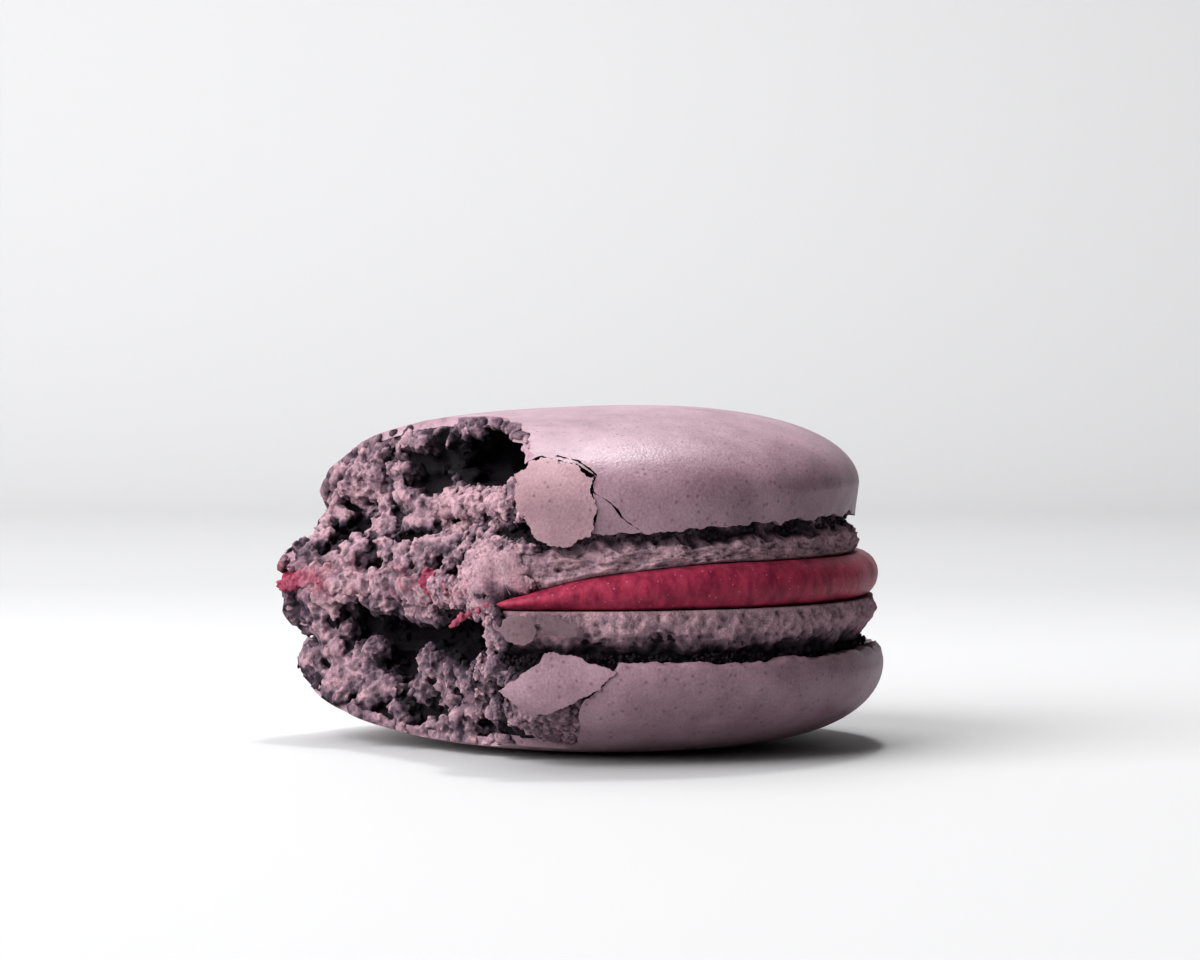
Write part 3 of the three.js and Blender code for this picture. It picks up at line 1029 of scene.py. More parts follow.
@dataclass
class FillingSizes:
    """The red disc between the shells."""

    centre_x: float = 0.7
    radius: float = 21.3
    bulge: float = 0.75
    underside: float = 11.25
    upper_left: float = 12.9
    upper_right: float = 14.5

    def top(self, points: np.ndarray) -> np.ndarray:
        """The height of the upper face: it thins towards the bitten front corner."""
        x, y = points[:, 0], points[:, 1]
        rise = ease(x, -8.0, 12.0) * (self.upper_right - self.upper_left)
        return self.upper_left + rise - 0.8 * ease(-y, 14.0, 19.0) * ease(-x, -2.0, 6.0)


def squeezed_out(points: np.ndarray, centre_x: float) -> np.ndarray:
    """How far the bite squeezed the feet and the filling out at the far end of the face."""
    away = (np.arctan2(points[:, 1], points[:, 0] - centre_x) - 2.9) / 0.26
    band = ease(points[:, 2], 7.5, 9.5) * ease(-points[:, 2], -16.0, -14.6)
    return 1.9 * np.exp(-away * away) * band


# ---------------------------------------------------------------- torn crumb


@dataclass(frozen=True)
class Clusters:
    """How one stretch of the torn face is heaped with clusters of grains; lengths in millimetres."""

    name: str
    start: float  # share of the face's length
    end: float
    radius: tuple[float, float]
    grains: int
    grain: tuple[float, float]
    voxel: float


@dataclass(frozen=True)
class CrumbPlace:
    """A piece that carries clusters: how likely at each point and normal, how large, and at most how many."""

    piece: bpy.types.Object
    wanted: Callable[[np.ndarray, np.ndarray], np.ndarray]
    scale: float
    most: int


@dataclass
class Sponge:
    """The torn crumb of one shell: a heart cut by the bite and given painted shade, and pale grains clustered on it.
    """

    bite: Bite
    name: str
    low: float
    high: float
    hollows: tuple[Hollow, ...]
    mounds: tuple[Hollow, ...]
    within: Move
    bare: Move
    under: Move
    hull: Callable[[], bpy.types.Object]
    seed: int
    stretches: tuple[Clusters, ...] = (
        Clusters("near", -1.0, 0.34, (0.18, 0.48), 30, (0.08, 0.18), 0.08),
        Clusters("far", 0.34, 2.0, (0.22, 0.58), 30, (0.08, 0.18), 0.12),
    )
    bare_scale: float = 0.5  # how large the clusters are where the outside broke away
    on_ridges: int = 1500  # clusters on the heart
    most: int = 180000  # triangles in one stretch

    def open_up(self, piece: bpy.types.Object, grow: float) -> bpy.types.Object:
        """Takes every hollow out of a piece."""
        for hollow in self.hollows:
            combine(piece, self.bite.blob(hollow, grow=grow), "DIFFERENCE")
        return piece

    def in_mouth(self, points: np.ndarray) -> np.ndarray:
        """Whether each point stands in the mouth of a hollow."""
        along, inward = self.bite.read(points)
        found = np.zeros(len(points), dtype=bool)
        for hollow in self.hollows:
            across = (along - hollow.along) * self.bite.length(points[:, 2]) / hollow.half[0]
            rise = (points[:, 2] - hollow.height) / hollow.half[2]
            found |= (across**2 + rise**2 < 0.9) & (inward < hollow.inward + 0.7 * hollow.half[1])
        return found

    def heart(self, solid: bpy.types.Object) -> bpy.types.Object:
        """Cuts the shell's inside by the bite and its hollows.

        Args:
            solid: The whole inside of the shell.

        Returns:
            The same object, torn open and roughened.
        """

        def torn(points: np.ndarray) -> np.ndarray:
            return self.bite.crags(points) + self.bite.pores(points)

        combine(solid, self.bite.cutter(self.low, self.high, 0.3, 0.35, torn), "DIFFERENCE")
        self.open_up(solid, 0.3)
        for mound in self.mounds:
            combine(solid, self.bite.blob(mound), "UNION")
        with_modifier(solid, "REMESH", mode="VOXEL", voxel_size=0.22)
        clouds = bpy.data.textures.new("crumb_clouds", type="CLOUDS")
        clouds.noise_scale = 0.6
        clouds.noise_depth = 3
        with_modifier(solid, "DISPLACE", texture=clouds, texture_coords="LOCAL", strength=0.55, mid_level=0.5)
        bpy.data.textures.remove(clouds)
        thinned(solid, 90000)
        solid.name = f"{self.name}_heart"
        return solid

    def on_heart(self, points: np.ndarray, normals: np.ndarray) -> np.ndarray:
        """How likely a cluster sits at each point of the heart: on its ridges, and hardly in its pores."""
        along, inward = self.bite.read(points)
        in_reach = (inward > -3.0) & (inward < 8.0) & (along > -0.06) & (along < 1.06) & self.within(points)
        in_reach |= (np.abs(inward) < 3.0) & (along > 0.86) & (along < 1.06)
        patchy = np.clip(0.55 + 1.1 * lumps(points, 1.9, self.seed), 0.0, 1.0)
        sunk = self.bite.sunk(points)
        ridges = np.where(in_reach, patchy * (1.0 - 0.97 * ease(sunk, 0.5, 1.9)), 0.0)
        floors = np.where(in_reach & (points[:, 2] < 19.0), 0.2 * patchy, 0.0)
        ridges = np.where(self.in_mouth(points), floors, ridges)
        return np.where(self.bare(points) & self.within(points - 0.8 * normals), 0.8, ridges)

    def on_edge(self, points: np.ndarray, normals: np.ndarray) -> np.ndarray:
        """How likely a cluster sits at each point of a cut edge of another piece."""
        along = self.bite.read(points)[0]
        near = (np.abs(self.bite.sunk(points)) < 1.1) & (along > -0.06) & (along < 1.06)
        patchy = np.clip(0.55 + 0.9 * lumps(points, 1.3, self.seed + 1), 0.0, 1.0)
        return np.where(near & self.bite.facing(points, normals) & ~self.in_mouth(points), patchy, 0.0)

    def heap(
        self, stretch: Clusters, places: np.ndarray, normals: np.ndarray, scale: np.ndarray
    ) -> bpy.types.Object:
        """Grains heaped in clusters, baked together and kept inside the shell's own outside.

        Args:
            stretch: How the clusters are made.
            places: Where the clusters stand.
            normals: Which way is out at each of them.
            scale: How large each cluster is for its kind.

        Returns:
            The new object.
        """
        random = np.random.default_rng(self.seed)
        count = len(places)
        sizes = random.uniform(*stretch.radius, count) * scale
        middles = places + normals * sizes[:, None] * random.uniform(-0.2, 0.55, (count, 1))
        ways = random.normal(size=(count, stretch.grains, 3))
        ways /= np.linalg.norm(ways, axis=2, keepdims=True)
        spread = random.uniform(0.65, 1.15, (count, stretch.grains, 1)) * sizes[:, None, None]
        around = (middles[:, None, :] + ways * spread).reshape(-1, 3)
        small = random.uniform(*stretch.grain, count * stretch.grains)
        heap = grain_mesh(
            f"{self.name}_{stretch.name}",
            np.concatenate([middles, around]),
            np.concatenate([sizes * 0.75, small]),
            self.seed,
            1,
        )
        with_modifier(heap, "REMESH", mode="VOXEL", voxel_size=stretch.voxel)
        combine(heap, self.hull(), "INTERSECT")
        return thinned(heap, self.most)

    def crumb(
        self, heart: bpy.types.Object, others: Sequence[CrumbPlace], node: str, finishes: "Finishes"
    ) -> None:
        """Covers the torn face with grain clusters, finer towards the front.

        Args:
            heart: The torn inside of the shell.
            others: What else carries clusters.
            node: The CAD node that the crumb belongs to.
            finishes: The macaron's finishes.
        """
        found = []
        for number, source in enumerate((CrumbPlace(heart, self.on_heart, 1.0, self.on_ridges), *others)):
            places, normals = surface_samples(source.piece, 60000, self.seed + number, source.wanted)
            places, normals = places[: source.most], normals[: source.most]
            found.append((places, normals, np.full(len(places), source.scale)))
        places, normals, scale = (np.concatenate(parts) for parts in zip(*found))
        scale = np.where(self.bare(places), self.bare_scale, scale)
        along = self.bite.read(places)[0]
        for stretch in self.stretches:
            chosen = (along >= stretch.start) & (along < stretch.end)
            heap = self.heap(stretch, places[chosen], normals[chosen], scale[chosen])
            self.shade(heap, 0.0)
            finished(heap, node, finishes.crumb, None)

    def shade(self, piece: bpy.types.Object, extra_shade: float) -> None:
        """Marks how deep each corner lies behind the torn face and between its neighbours, which the crumb finish
        paints as shade.
        """
        points = corners_of(piece)
        depth = self.bite.sunk(points)
        depth = np.where(self.bare(points), np.minimum(depth, self.under(points)), depth)
        along = self.bite.read(points)[0]
        squeezed = 1.05 * ease(along, 0.84, 0.92) * ease(points[:, 2], 8.0, 10.0) * ease(-points[:, 2], -17.0, -15.0)
        smeared = ease(along, 0.78, 0.88) * np.exp(-(((points[:, 2] - 12.2) / 1.0) ** 2))
        squeezed *= 1.0 - 0.7 * smeared
        # darker low down in the bottom shell, paler high up in the top shell
        darker_low_paler_high = 0.2 * ease(-points[:, 2], -12.0, -9.0) - 0.15 * ease(points[:, 2], 15.0, 18.0)
        # painted shade: deeper corners, pits between neighbours, bare patches by how far they lie under the outside,
        # and the extra shade are all painted darker
        mark(piece, "depth", np.clip(depth + extra_shade + squeezed + darker_low_paler_high + 2.5 * sunken(piece, 12), -0.6, 6.0))
        mark(piece, "stain", np.clip(stained(points) + 0.5 * smeared, 0.0, 0.75))


def stained(points: np.ndarray) -> np.ndarray:
    """How much of the filling's red has soaked into the crumb at each point, from 0 to 1."""
    off = (points[:, 2] - 12.4) / 1.5
    return np.clip(np.exp(-off * off) * (0.1 + 0.8 * lumps(points, 1.5, 77)), 0.0, 0.55)


def sunken(piece: bpy.types.Object, rounds: int) -> np.ndarray:
    """How far each corner lies below the mean of its neighbourhood, in millimetres.

    Args:
        piece: The object to read.
        rounds: How many corners away the neighbourhood reaches.

    Returns:
        One number for each corner, above 0 in a pit and below 0 on a tip.
    """
    mesh = piece.data
    ends = np.empty(2 * len(mesh.edges), dtype=np.int32)
    mesh.edges.foreach_get("vertices", ends)
    first, second = ends.reshape(-1, 2).T
    points = corners_of(piece)
    normals = np.empty(3 * len(points))
    mesh.vertices.foreach_get("normal", normals)
    count = np.maximum(np.bincount(ends, minlength=len(points)), 1)
    smooth = points.copy()
    for _ in range(rounds):
        total = [
            np.bincount(first, smooth[second, axis], len(points)) + np.bincount(second, smooth[first, axis], len(points))
            for axis in range(3)
        ]
        smooth = np.stack(total, axis=1) / count[:, None]
    return np.einsum("ij,ij->i", smooth - points, normals.reshape(-1, 3))


def porous(points: np.ndarray, seed: int) -> np.ndarray:
    """The rough, pitted outside of a foot: how far each point stands out."""
    swell = 0.26 * lumps(points, 2.5, seed) + 0.17 * lumps(points, 1.1, seed + 1)
    fine_grain = 0.13 * lumps(points, 0.55, seed + 2) + 0.07 * lumps(points, 0.3, seed + 3)
    pores = 0.24 * (1.0 - ease(pits(points, 1.3, seed), 0.14, 0.32))
    pinholes = 0.16 * (1.0 - ease(pits(points, 0.6, seed + 1), 0.2, 0.36))
    return swell + fine_grain - pores - pinholes


def torn_edge(points: np.ndarray) -> np.ndarray:
    """The fine breaks along an edge of crust."""
    return 0.2 * lumps(points, 1.5, 21) + 0.13 * lumps(points, 0.6, 22) + 0.07 * lumps(points, 0.28, 23)


def fringe(
    name: str, count: int, radii: tuple[float, float], heights: tuple[float, float], centre_x: float, seed: int
) -> bpy.types.Object:
    """Loose grains all round in a gap, in patches.

    Args:
        name: The new object's name.
        count: How many places are tried.
        radii: The nearest and furthest distance from the axis.
        heights: The lowest and highest place.
        centre_x: Where the axis stands.
        seed: For the random places.

    Returns:
        The new object.
    """
    random = np.random.default_rng(seed)
    angle = random.uniform(0.0, math.tau, count)
    radius = random.uniform(*radii, count)
    points = np.stack(
        [centre_x + radius * np.cos(angle), radius * np.sin(angle), random.uniform(*heights, count)], axis=1
    )
    kept = random.random(count) < 0.5 + 0.8 * lumps(points, 2.0, seed)
    return grain_mesh(name, points[kept], random.uniform(0.07, 0.19, count)[kept], seed, 1)


# ---------------------------------------------------------------- the top shell


@dataclass
class TopShell:
    """The leaning dome: its crust, loose plate, foot and torn crumb."""

    bite: Bite
    finishes: Finishes
    sizes: DomeSizes = field(default_factory=DomeSizes)
    filling: FillingSizes = field(default_factory=FillingSizes)
    flake: Outline = (
        (-4.35, 21.05), (-3.35, 21.85), (-2.35, 22.25), (-1.2, 21.95), (0.15, 21.7), (1.45, 20.85), (1.25, 20.1),
        (1.65, 18.4), (1.45, 17.5), (1.2, 16.5), (0.5, 16.3), (-0.3, 15.75), (-1.6, 15.8), (-2.65, 16.25),
        (-3.1, 16.9), (-3.5, 18.0), (-4.2, 18.7), (-4.3, 19.5), (-4.1, 20.5),
    )  # fmt: skip
    cracks: tuple[Outline, ...] = (
        ((-1.3, 22.25), (0.2, 21.9), (1.1, 21.3), (1.55, 20.9), (1.25, 20.2), (1.35, 19.7), (2.7, 18.8), (3.7, 17.6), (4.6, 17.0)),
    )  # fmt: skip
    hole: Outline = (
        (-8.0, 21.2), (-4.35, 21.05), (-3.35, 21.85), (-2.35, 22.25), (-1.2, 21.95), (0.15, 21.7), (1.45, 20.85),
        (1.25, 20.1), (1.65, 18.4), (1.45, 17.5), (1.2, 16.5), (0.5, 16.3), (-0.3, 15.75), (-1.6, 15.8),
        (-2.65, 14.5), (-8.0, 14.5),
    )  # fmt: skip
    node: str = "top_shell"

    def surface(self, name: str, grow: float, lip_drop: float, thickness: float) -> bpy.types.Object:
        """The dome as a thin closed shell of crust.

        Args:
            name: The new object's name.
            grow: How far its outside stands out from the dome's own.
            lip_drop: How far below the apex its edge is.
            thickness: How thick the crust is.

        Returns:
            The new object.
        """
        s = self.sizes
        radius, lip = s.radius + grow, s.apex - lip_drop
        outline = []
        for step in range(31):
            out = math.sin(step / 30 * math.pi / 2)
            fall = s.dome_height * (1.0 - math.sqrt(max(0.0, 1.0 - out**s.power)))
            outline.append((radius * out, s.apex + grow - fall))
        widest = outline[-1][1]
        outline += fine([(radius, widest), (radius - s.lip_inset, lip)], 0.25)[1:]
        dome = turned(name, outline, s.centre_x, 480)

        def ragged(points: np.ndarray) -> np.ndarray:
            edge = ease(-points[:, 2], -(lip + 1.3), -lip)
            drop = 0.3 * lumps(points, 2.6, 31) + 0.2 * lumps(points, 1.0, 32) + 0.12 * lumps(points, 0.45, 33)
            moved = points + np.stack([0 * drop, 0 * drop, edge * drop], axis=1)
            return self.sizes.leaned(pushed_out(moved, s.centre_x, 0.05 * lumps(points, 5.0, 34)))

        facing_away(reshape(dome, ragged), (0.0, 0.0, 12.0))
        return with_modifier(dome, "SOLIDIFY", thickness=thickness, offset=-1.0, use_even_offset=True)

    def build_crust(self) -> bpy.types.Object:
        """The smooth crust, bitten off raggedly, cracked, and open where the plate came loose."""
        crust = self.surface("top_crust", 0.0, self.sizes.lip_drop, self.sizes.crust)
        bite = self.bite.cutter(14.0, 27.0, 0.2, 0.0, self.bite.crust_line)
        combine(crust, bite, "DIFFERENCE")
        combine(crust, prism("plate_hole", jagged(self.hole, 0.05, 3), -26.0, -10.0), "DIFFERENCE")
        for number, path in enumerate(self.cracks):
            ribbon = crack_ribbon(path, 0.17)
            combine(crust, prism("crack", jagged(ribbon, 0.05, 7 + number), -26.0, -12.0), "DIFFERENCE")
        return crust

    def build_flake(self) -> bpy.types.Object:
        """The loose plate of crust on the front, standing out at its broken left edge."""
        plate = self.surface("top_flake", 0.12, self.sizes.lip_drop + 1.3, 0.6)
        middle = np.mean(np.array(self.flake), axis=0)
        outline = [
            (float(middle[0] + (x - middle[0]) * 0.965), float(middle[1] + (z - middle[1]) * 0.97))
            for x, z in jagged(self.flake, 0.15, 3)
        ]
        combine(plate, prism("plate_outline", outline, -26.0, -10.0), "INTERSECT")

        def lifted(points: np.ndarray) -> np.ndarray:
            left = 0.38 * ease(-points[:, 0], -1.0, 4.4) + 0.12 * ease(-points[:, 2], -18.5, -15.8)
            return pushed_out(points, self.sizes.centre_x, left)

        reshape(plate, lifted)
        return finished(plate, self.node, self.finishes.loose_crust)

    def build_foot(self) -> bpy.types.Object:
        """The porous foot under the dome, as a ring whose outside is pitted and torn."""
        s = self.sizes
        top, bottom = s.apex - s.foot_drop, 11.7
        outline = fine(
            [
                (18.4, bottom), (s.foot_radius - 0.3, bottom), (s.foot_radius, bottom + 0.5),
                (s.foot_radius, top - 0.8), (s.foot_radius - 0.35, top - 0.1), (s.gap_radius, top + 0.45),
                (s.gap_radius, top + 2.2), (18.4, top + 2.2), (18.4, bottom),
            ],
            0.17,
        )  # fmt: skip
        ring = turned("top_foot", [p for p in outline if p[0] > 19.4 or p in (outline[0], outline[-1]) or p[1] in (top + 2.2,)], s.centre_x, 800)

        def rough(points: np.ndarray) -> np.ndarray:
            radius = np.hypot(points[:, 0] - s.centre_x, points[:, 1])
            outside = ease(radius, 19.2, 20.0)
            seated = ease(points[:, 2], bottom, bottom + 0.6)
            out = outside * (porous(points, 40) * (0.35 + 0.65 * seated)) + squeezed_out(points, s.centre_x)
            rising = outside * ease(points[:, 2], top - 1.6, top - 0.2) * ease(-points[:, 2], -(top + 1.8), -(top + 0.8))
            crest = rising * (0.34 * lumps(points, 2.2, 44) + 0.22 * lumps(points, 0.9, 45))
            moved = pushed_out(points, s.centre_x, out)
            moved[:, 2] += crest
            leaned = s.leaned(moved)
            seat = self.filling.top(leaned) + 0.04
            share = np.clip((points[:, 2] - bottom) / (top - bottom), 0.0, 1.0)
            lift = seat - s.leaned(np.stack([points[:, 0], points[:, 1], np.full(len(points), bottom)], axis=1))[:, 2]
            leaned[:, 2] += lift * (1.0 - share)
            return leaned

        reshape(ring, rough)
        combine(
            ring, self.bite.cutter(10.0, 19.0, 0.22, 0.0, lambda p: self.bite.crags(p) + torn_edge(p)), "DIFFERENCE"
        )
        return ring

    def build_inside(self) -> bpy.types.Object:
        """The whole inside under the crust, before the bite."""
        s = self.sizes
        inner = s.radius - s.crust + 0.03
        outline = fine([(0.0, 12.0), (20.5, 12.0)], 2.0)
        outline += [(20.5, 15.2), (19.9, 15.8), (19.9, 17.3), (20.75, 17.5)]
        for step in range(18, -1, -1):
            out = math.sin(step / 18 * math.pi / 2)
            fall = s.dome_height * (1.0 - math.sqrt(max(0.0, 1.0 - out**s.power)))
            outline.append((inner * out, s.apex - s.crust + 0.03 - fall))
        inside = turned("top_inside", outline, s.centre_x, 160)

        def seated(points: np.ndarray) -> np.ndarray:
            moved = s.leaned(points)
            moved[:, 2] = np.where(points[:, 2] < 12.5, self.filling.top(moved) + 0.06, moved[:, 2])
            return moved

        return reshape(inside, seated)

    def deep_inside(self, points: np.ndarray) -> np.ndarray:
        """Whether each point lies well under the outside of the unbitten inside."""
        s = self.sizes
        upright = self.sizes.leaned(points, back=True)
        radius = np.hypot(upright[:, 0] - s.centre_x, upright[:, 1])
        inner = s.radius - s.crust
        share = np.clip(radius / inner, 0.0, 1.0)
        roof = s.apex - s.crust - s.dome_height * (1.0 - np.sqrt(1.0 - share**s.power))
        wall = np.where(upright[:, 2] < 15.3, 20.5, np.where(upright[:, 2] < 17.3, 19.9, inner))
        return (upright[:, 2] < roof - 0.22) & (radius < wall - 0.22)

    def hull(self) -> bpy.types.Object:
        """The whole top shell before the bite, a hair inside its outside."""
        s = self.sizes
        outline = [(0.0, 10.9), (s.foot_radius + 0.25, 10.9), (s.foot_radius + 0.25, 16.2)]
        for step in range(24, -1, -1):
            out = math.sin(step / 24 * math.pi / 2)
            fall = s.dome_height * (1.0 - math.sqrt(max(0.0, 1.0 - out**s.power)))
            outline.append(((s.radius - 0.05) * out, s.apex - 0.05 - fall))
        whole = turned("top_whole", fine(outline, 1.2), s.centre_x, 160)
        return reshape(
            whole, lambda points: s.leaned(pushed_out(points, s.centre_x, squeezed_out(points, s.centre_x)))
        )

    def sponge(self) -> Sponge:
        """The torn crumb of the top shell, with its hollows."""
        return Sponge(
            self.bite, "top_crumb", 10.0, 27.0,
            hollows=(
                Hollow(0.315, 21.5, 2.7, (8.2, 6.8, 2.2)),
                Hollow(0.3, 21.2, 8.5, (5.5, 4.0, 2.0)),
                Hollow(0.08, 22.1, 1.6, (4.4, 3.6, 0.8)),
                Hollow(0.61, 19.7, 0.6, (3.4, 1.7, 0.7)),
                Hollow(0.6, 20.6, 0.4, (1.2, 1.2, 0.6)),
                Hollow(0.9, 21.4, 0.2, (0.8, 0.9, 0.7)),
                Hollow(0.765, 20.7, 0.2, (0.6, 0.8, 0.6)),
                Hollow(0.85, 16.1, 0.7, (2.8, 2.2, 0.9)),
                Hollow(0.58, 15.7, 0.3, (3.4, 1.5, 0.6)),
                Hollow(0.06, 16.7, 0.5, (3.8, 1.9, 0.85)),
            ),
            mounds=(
                Hollow(0.33, 18.4, 0.1, (2.8, 1.3, 0.9)),
                Hollow(0.47, 17.9, 0.2, (1.6, 1.1, 0.8)),
                Hollow(0.2, 18.7, 0.3, (1.6, 1.1, 0.7)),
            ),
            within=self.deep_inside,
            bare=self.frayed_skin,
            bare_scale=1.15,
            under=self.under_skin,
            hull=self.hull,
            seed=61,
        )  # fmt: skip

    def build(self, filling: bpy.types.Object) -> None:
        """Builds and dresses the whole top shell; crumbs of it cling to the filling's torn edge."""
        crust = self.build_crust()
        self.build_flake()
        foot = self.build_foot()
        sponge = self.sponge()
        heart = sponge.heart(self.build_inside())
        sponge.open_up(foot, 0.1)
        others = (
            CrumbPlace(foot, sponge.on_edge, 1.0, 200),
            CrumbPlace(foot, self.frayed, 1.0, 170),
            CrumbPlace(crust, sponge.on_edge, 0.5, 600),
            CrumbPlace(filling, self.clinging, 1.0, 420),
        )
        sponge.crumb(heart, others, self.node, self.finishes)
        finished(crust, self.node, self.finishes.crust)
        # the heart gets painted shade 0.55 mm deeper than the grains on it
        sponge.shade(heart, 0.55)
        finished(heart, self.node, self.finishes.crumb, None)
        # painted shade on the foot: darker far back in the gap and in its pores
        mark(foot, "depth", self.painted_gap_shade(corners_of(foot)) - 0.35 + 1.5 * sunken(foot, 8))
        finished(foot, self.node, self.finishes.crumb, None)
        grains = fringe("top_gap_grains", 2600, (19.9, 20.7), (15.7, 16.9), self.sizes.centre_x, 71)
        reshape(grains, self.sizes.leaned)
        self.clear_of_bite(grains)
        # painted shade: the loose grains in the gap are all painted mid-dark
        mark(grains, "depth", np.full(len(grains.data.vertices), 1.0))
        finished(grains, self.node, self.finishes.crumb, 25.0)

    def frayed(self, points: np.ndarray, normals: np.ndarray) -> np.ndarray:
        """How likely a cluster sits on the foot's outside: it is broken into crumbs beside the bite."""
        x = points[:, 0]
        skin = self.frayed_skin(points) & (normals[:, 1] < -0.3)
        return np.where(skin, 0.9 * ease(-x, 2.4, 5.6), 0.0)

    def frayed_skin(self, points: np.ndarray) -> np.ndarray:
        """Whether each point lies on the front of the foot beside the bite."""
        x, y, z = points.T
        return (x < -2.2) & (y < -15.0) & (z > 12.4) & (z < 16.4) & (self.bite.read(points)[0] < 0.08)

    def under_skin(self, points: np.ndarray) -> np.ndarray:
        """How far each point lies under the foot's outside."""
        upright = self.sizes.leaned(points, back=True)
        radius = np.hypot(upright[:, 0] - self.sizes.centre_x, upright[:, 1])
        return 1.8 * (self.sizes.foot_radius + 0.05 - radius)

    def clinging(self, points: np.ndarray, normals: np.ndarray) -> np.ndarray:
        """How likely a cluster clings to the filling's torn edge and front corner: two places are left open."""
        along = self.bite.read(points)[0]
        torn = self.bite.facing(points, normals) & (along > -0.02) & (along < 1.03)
        opened = np.exp(-(((along - 0.385) / 0.035) ** 2)) + ease(along, 0.9, 0.97)
        corner = (normals[:, 1] < -0.3) & (points[:, 1] < -18.0)
        strewn = np.where(corner, ease(-points[:, 0], 3.0, 6.5) * ease(points[:, 2], 11.4, 12.4), 0.0)
        return np.where(torn, np.clip(1.0 - opened, 0.0, 1.0), strewn)

    def painted_gap_shade(self, points: np.ndarray) -> np.ndarray:
        """How far back in the gap under the crust each point of the foot lies, for the painted shade in that gap."""
        upright = self.sizes.leaned(points, back=True)
        radius = np.hypot(upright[:, 0] - self.sizes.centre_x, upright[:, 1])
        return np.clip(1.3 * (self.sizes.foot_radius - 0.25 - radius), 0.0, 3.0)

    def clear_of_bite(self, grains: bpy.types.Object) -> None:
        """Deletes the loose grains that the bite would have taken."""
        inward = self.bite.read(corners_of(grains))[1]
        along = self.bite.read(corners_of(grains))[0]
        gone = (inward < 0.3) & (along > -0.2) & (along < 1.2)
        delete_corners(grains, gone)


def delete_corners(piece: bpy.types.Object, gone: np.ndarray) -> None:
    """Deletes whole loose balls of which any corner is marked as gone."""
    pick(piece)
    bpy.ops.object.mode_set(mode="EDIT")
    bpy.ops.mesh.select_all(action="DESELECT")
    bpy.ops.object.mode_set(mode="OBJECT")
    piece.data.vertices.foreach_set("select", gone)
    bpy.ops.object.mode_set(mode="EDIT")
    bpy.ops.mesh.select_mode(type="VERT")
    bpy.ops.mesh.select_linked(delimit=set())
    bpy.ops.mesh.delete(type="VERT")
    bpy.ops.object.mode_set(mode="OBJECT")


def crack_ribbon(path: Outline, width: float) -> list[tuple[float, float]]:
    """The outline of a crack: a thin ribbon that narrows to a point at its end."""
    last = len(path) - 1
    left, right = [], []
    for index, (x, z) in enumerate(path):
        half = width / 2 * (1.0 - 0.8 * index / last)
        left.append((x - half, z - half * 0.6))
        right.append((x + half, z + half * 0.6))
    return left + right[::-1]


# ---------------------------------------------------------------- the filling


@dataclass
class RedFilling:
    """The disc of filling, bulging at the right and torn where it was bitten."""

    bite: Bite
    finishes: Finishes
    sizes: FillingSizes = field(default_factory=FillingSizes)
    node: str = "filling"

    def build(self) -> bpy.types.Object:
        """Builds the filling, still undressed."""
        s = self.sizes
        outline = [(r, 0.0) for r, _ in fine([(0.0, 0.0), (20.6, 0.0)], 2.0)]
        for step in range(13):
            share = step / 12
            lip = 0.32 * (1.0 - math.sin(math.pi * share)) ** 2
            outline.append((s.radius + s.bulge * math.sin(math.pi * share) ** 0.7 - lip, share))
        outline += [(r, 1.0) for r, _ in fine([(20.6, 0.0), (0.0, 0.0)], 2.0)]
        disc = turned("red_filling", outline, s.centre_x, 540)

        def set_between(points: np.ndarray) -> np.ndarray:
            high = s.top(points)
            moved = points.copy()
            moved[:, 2] = s.underside + points[:, 2] * (high - s.underside)
            edge = ease(np.hypot(points[:, 0] - s.centre_x, points[:, 1]), 19.5, 21.0)
            waves = 0.14 * lumps(moved, 4.0, 51) + 0.02 * lumps(moved, 1.2, 52) + 0.015 * lumps(moved, 0.5, 53)
            tucked = 0.85 * ease(-moved[:, 0], 3.8, 7.6) * ease(-moved[:, 1], 14.0, 17.0)
            return pushed_out(moved, s.centre_x, edge * (waves - tucked) + squeezed_out(moved, s.centre_x))

        reshape(disc, set_between)

        def torn(points: np.ndarray) -> np.ndarray:
            inner = ease(self.bite.read(points)[0], 0.02, 0.14)
            return inner * (0.35 + self.bite.crags(points)) - 0.15 * (1.0 - inner) + torn_edge(points)

        return combine(disc, self.bite.cutter(10.5, 15.5, 0.22, 0.0, torn), "DIFFERENCE")

    def build_shreds(self) -> None:
        """The shreds of filling that the bite pulled out of the torn edge."""
        faces = [(0.925, 12.1, 0.0, 0.75), (0.95, 11.85, -0.15, 0.7), (0.97, 11.7, -0.35, 0.55), (0.985, 11.6, -0.5, 0.4)]
        faces += [(0.37, 12.1, 0.0, 0.55), (0.385, 12.7, -0.1, 0.6), (0.4, 13.2, 0.1, 0.45), (0.365, 13.1, 0.1, 0.4)]
        spots = [self.bite.place(np.array([along]), np.array([z]), inward)[0] for along, z, inward, _ in faces]
        sizes = [size for *_, size in faces]
        hanging = [(-6.3, -20.3, 11.6), (-6.9, -20.3, 11.25), (-7.5, -20.2, 11.0), (-8.05, -20.2, 10.75), (-8.5, -20.15, 10.35), (-8.85, -20.1, 10.1)]
        spots += [np.array(spot) for spot in hanging]
        sizes += [0.3, 0.26, 0.24, 0.34, 0.3, 0.17]
        random = np.random.default_rng(55)
        middles, radii = np.array(spots), np.array(sizes)
        ways = random.normal(size=(len(middles), 26, 3))
        ways /= np.linalg.norm(ways, axis=2, keepdims=True)
        around = (middles[:, None, :] + ways * 0.85 * radii[:, None, None]).reshape(-1, 3)
        small = np.repeat(radii, 26) * random.uniform(0.2, 0.42, len(around))
        shreds = grain_mesh(
            "filling_shreds", np.concatenate([middles, around]), np.concatenate([0.7 * radii, small]), 56, 1
        )
        with_modifier(shreds, "REMESH", mode="VOXEL", voxel_size=0.08)
        finished(thinned(shreds, 40000), self.node, self.finishes.shreds, None)

    def dress(self, disc: bpy.types.Object) -> None:
        """Gives the filling its finish."""
        finished(disc, self.node, self.finishes.filling, 50.0)
        self.build_shreds()


# ---------------------------------------------------------------- the bottom shell


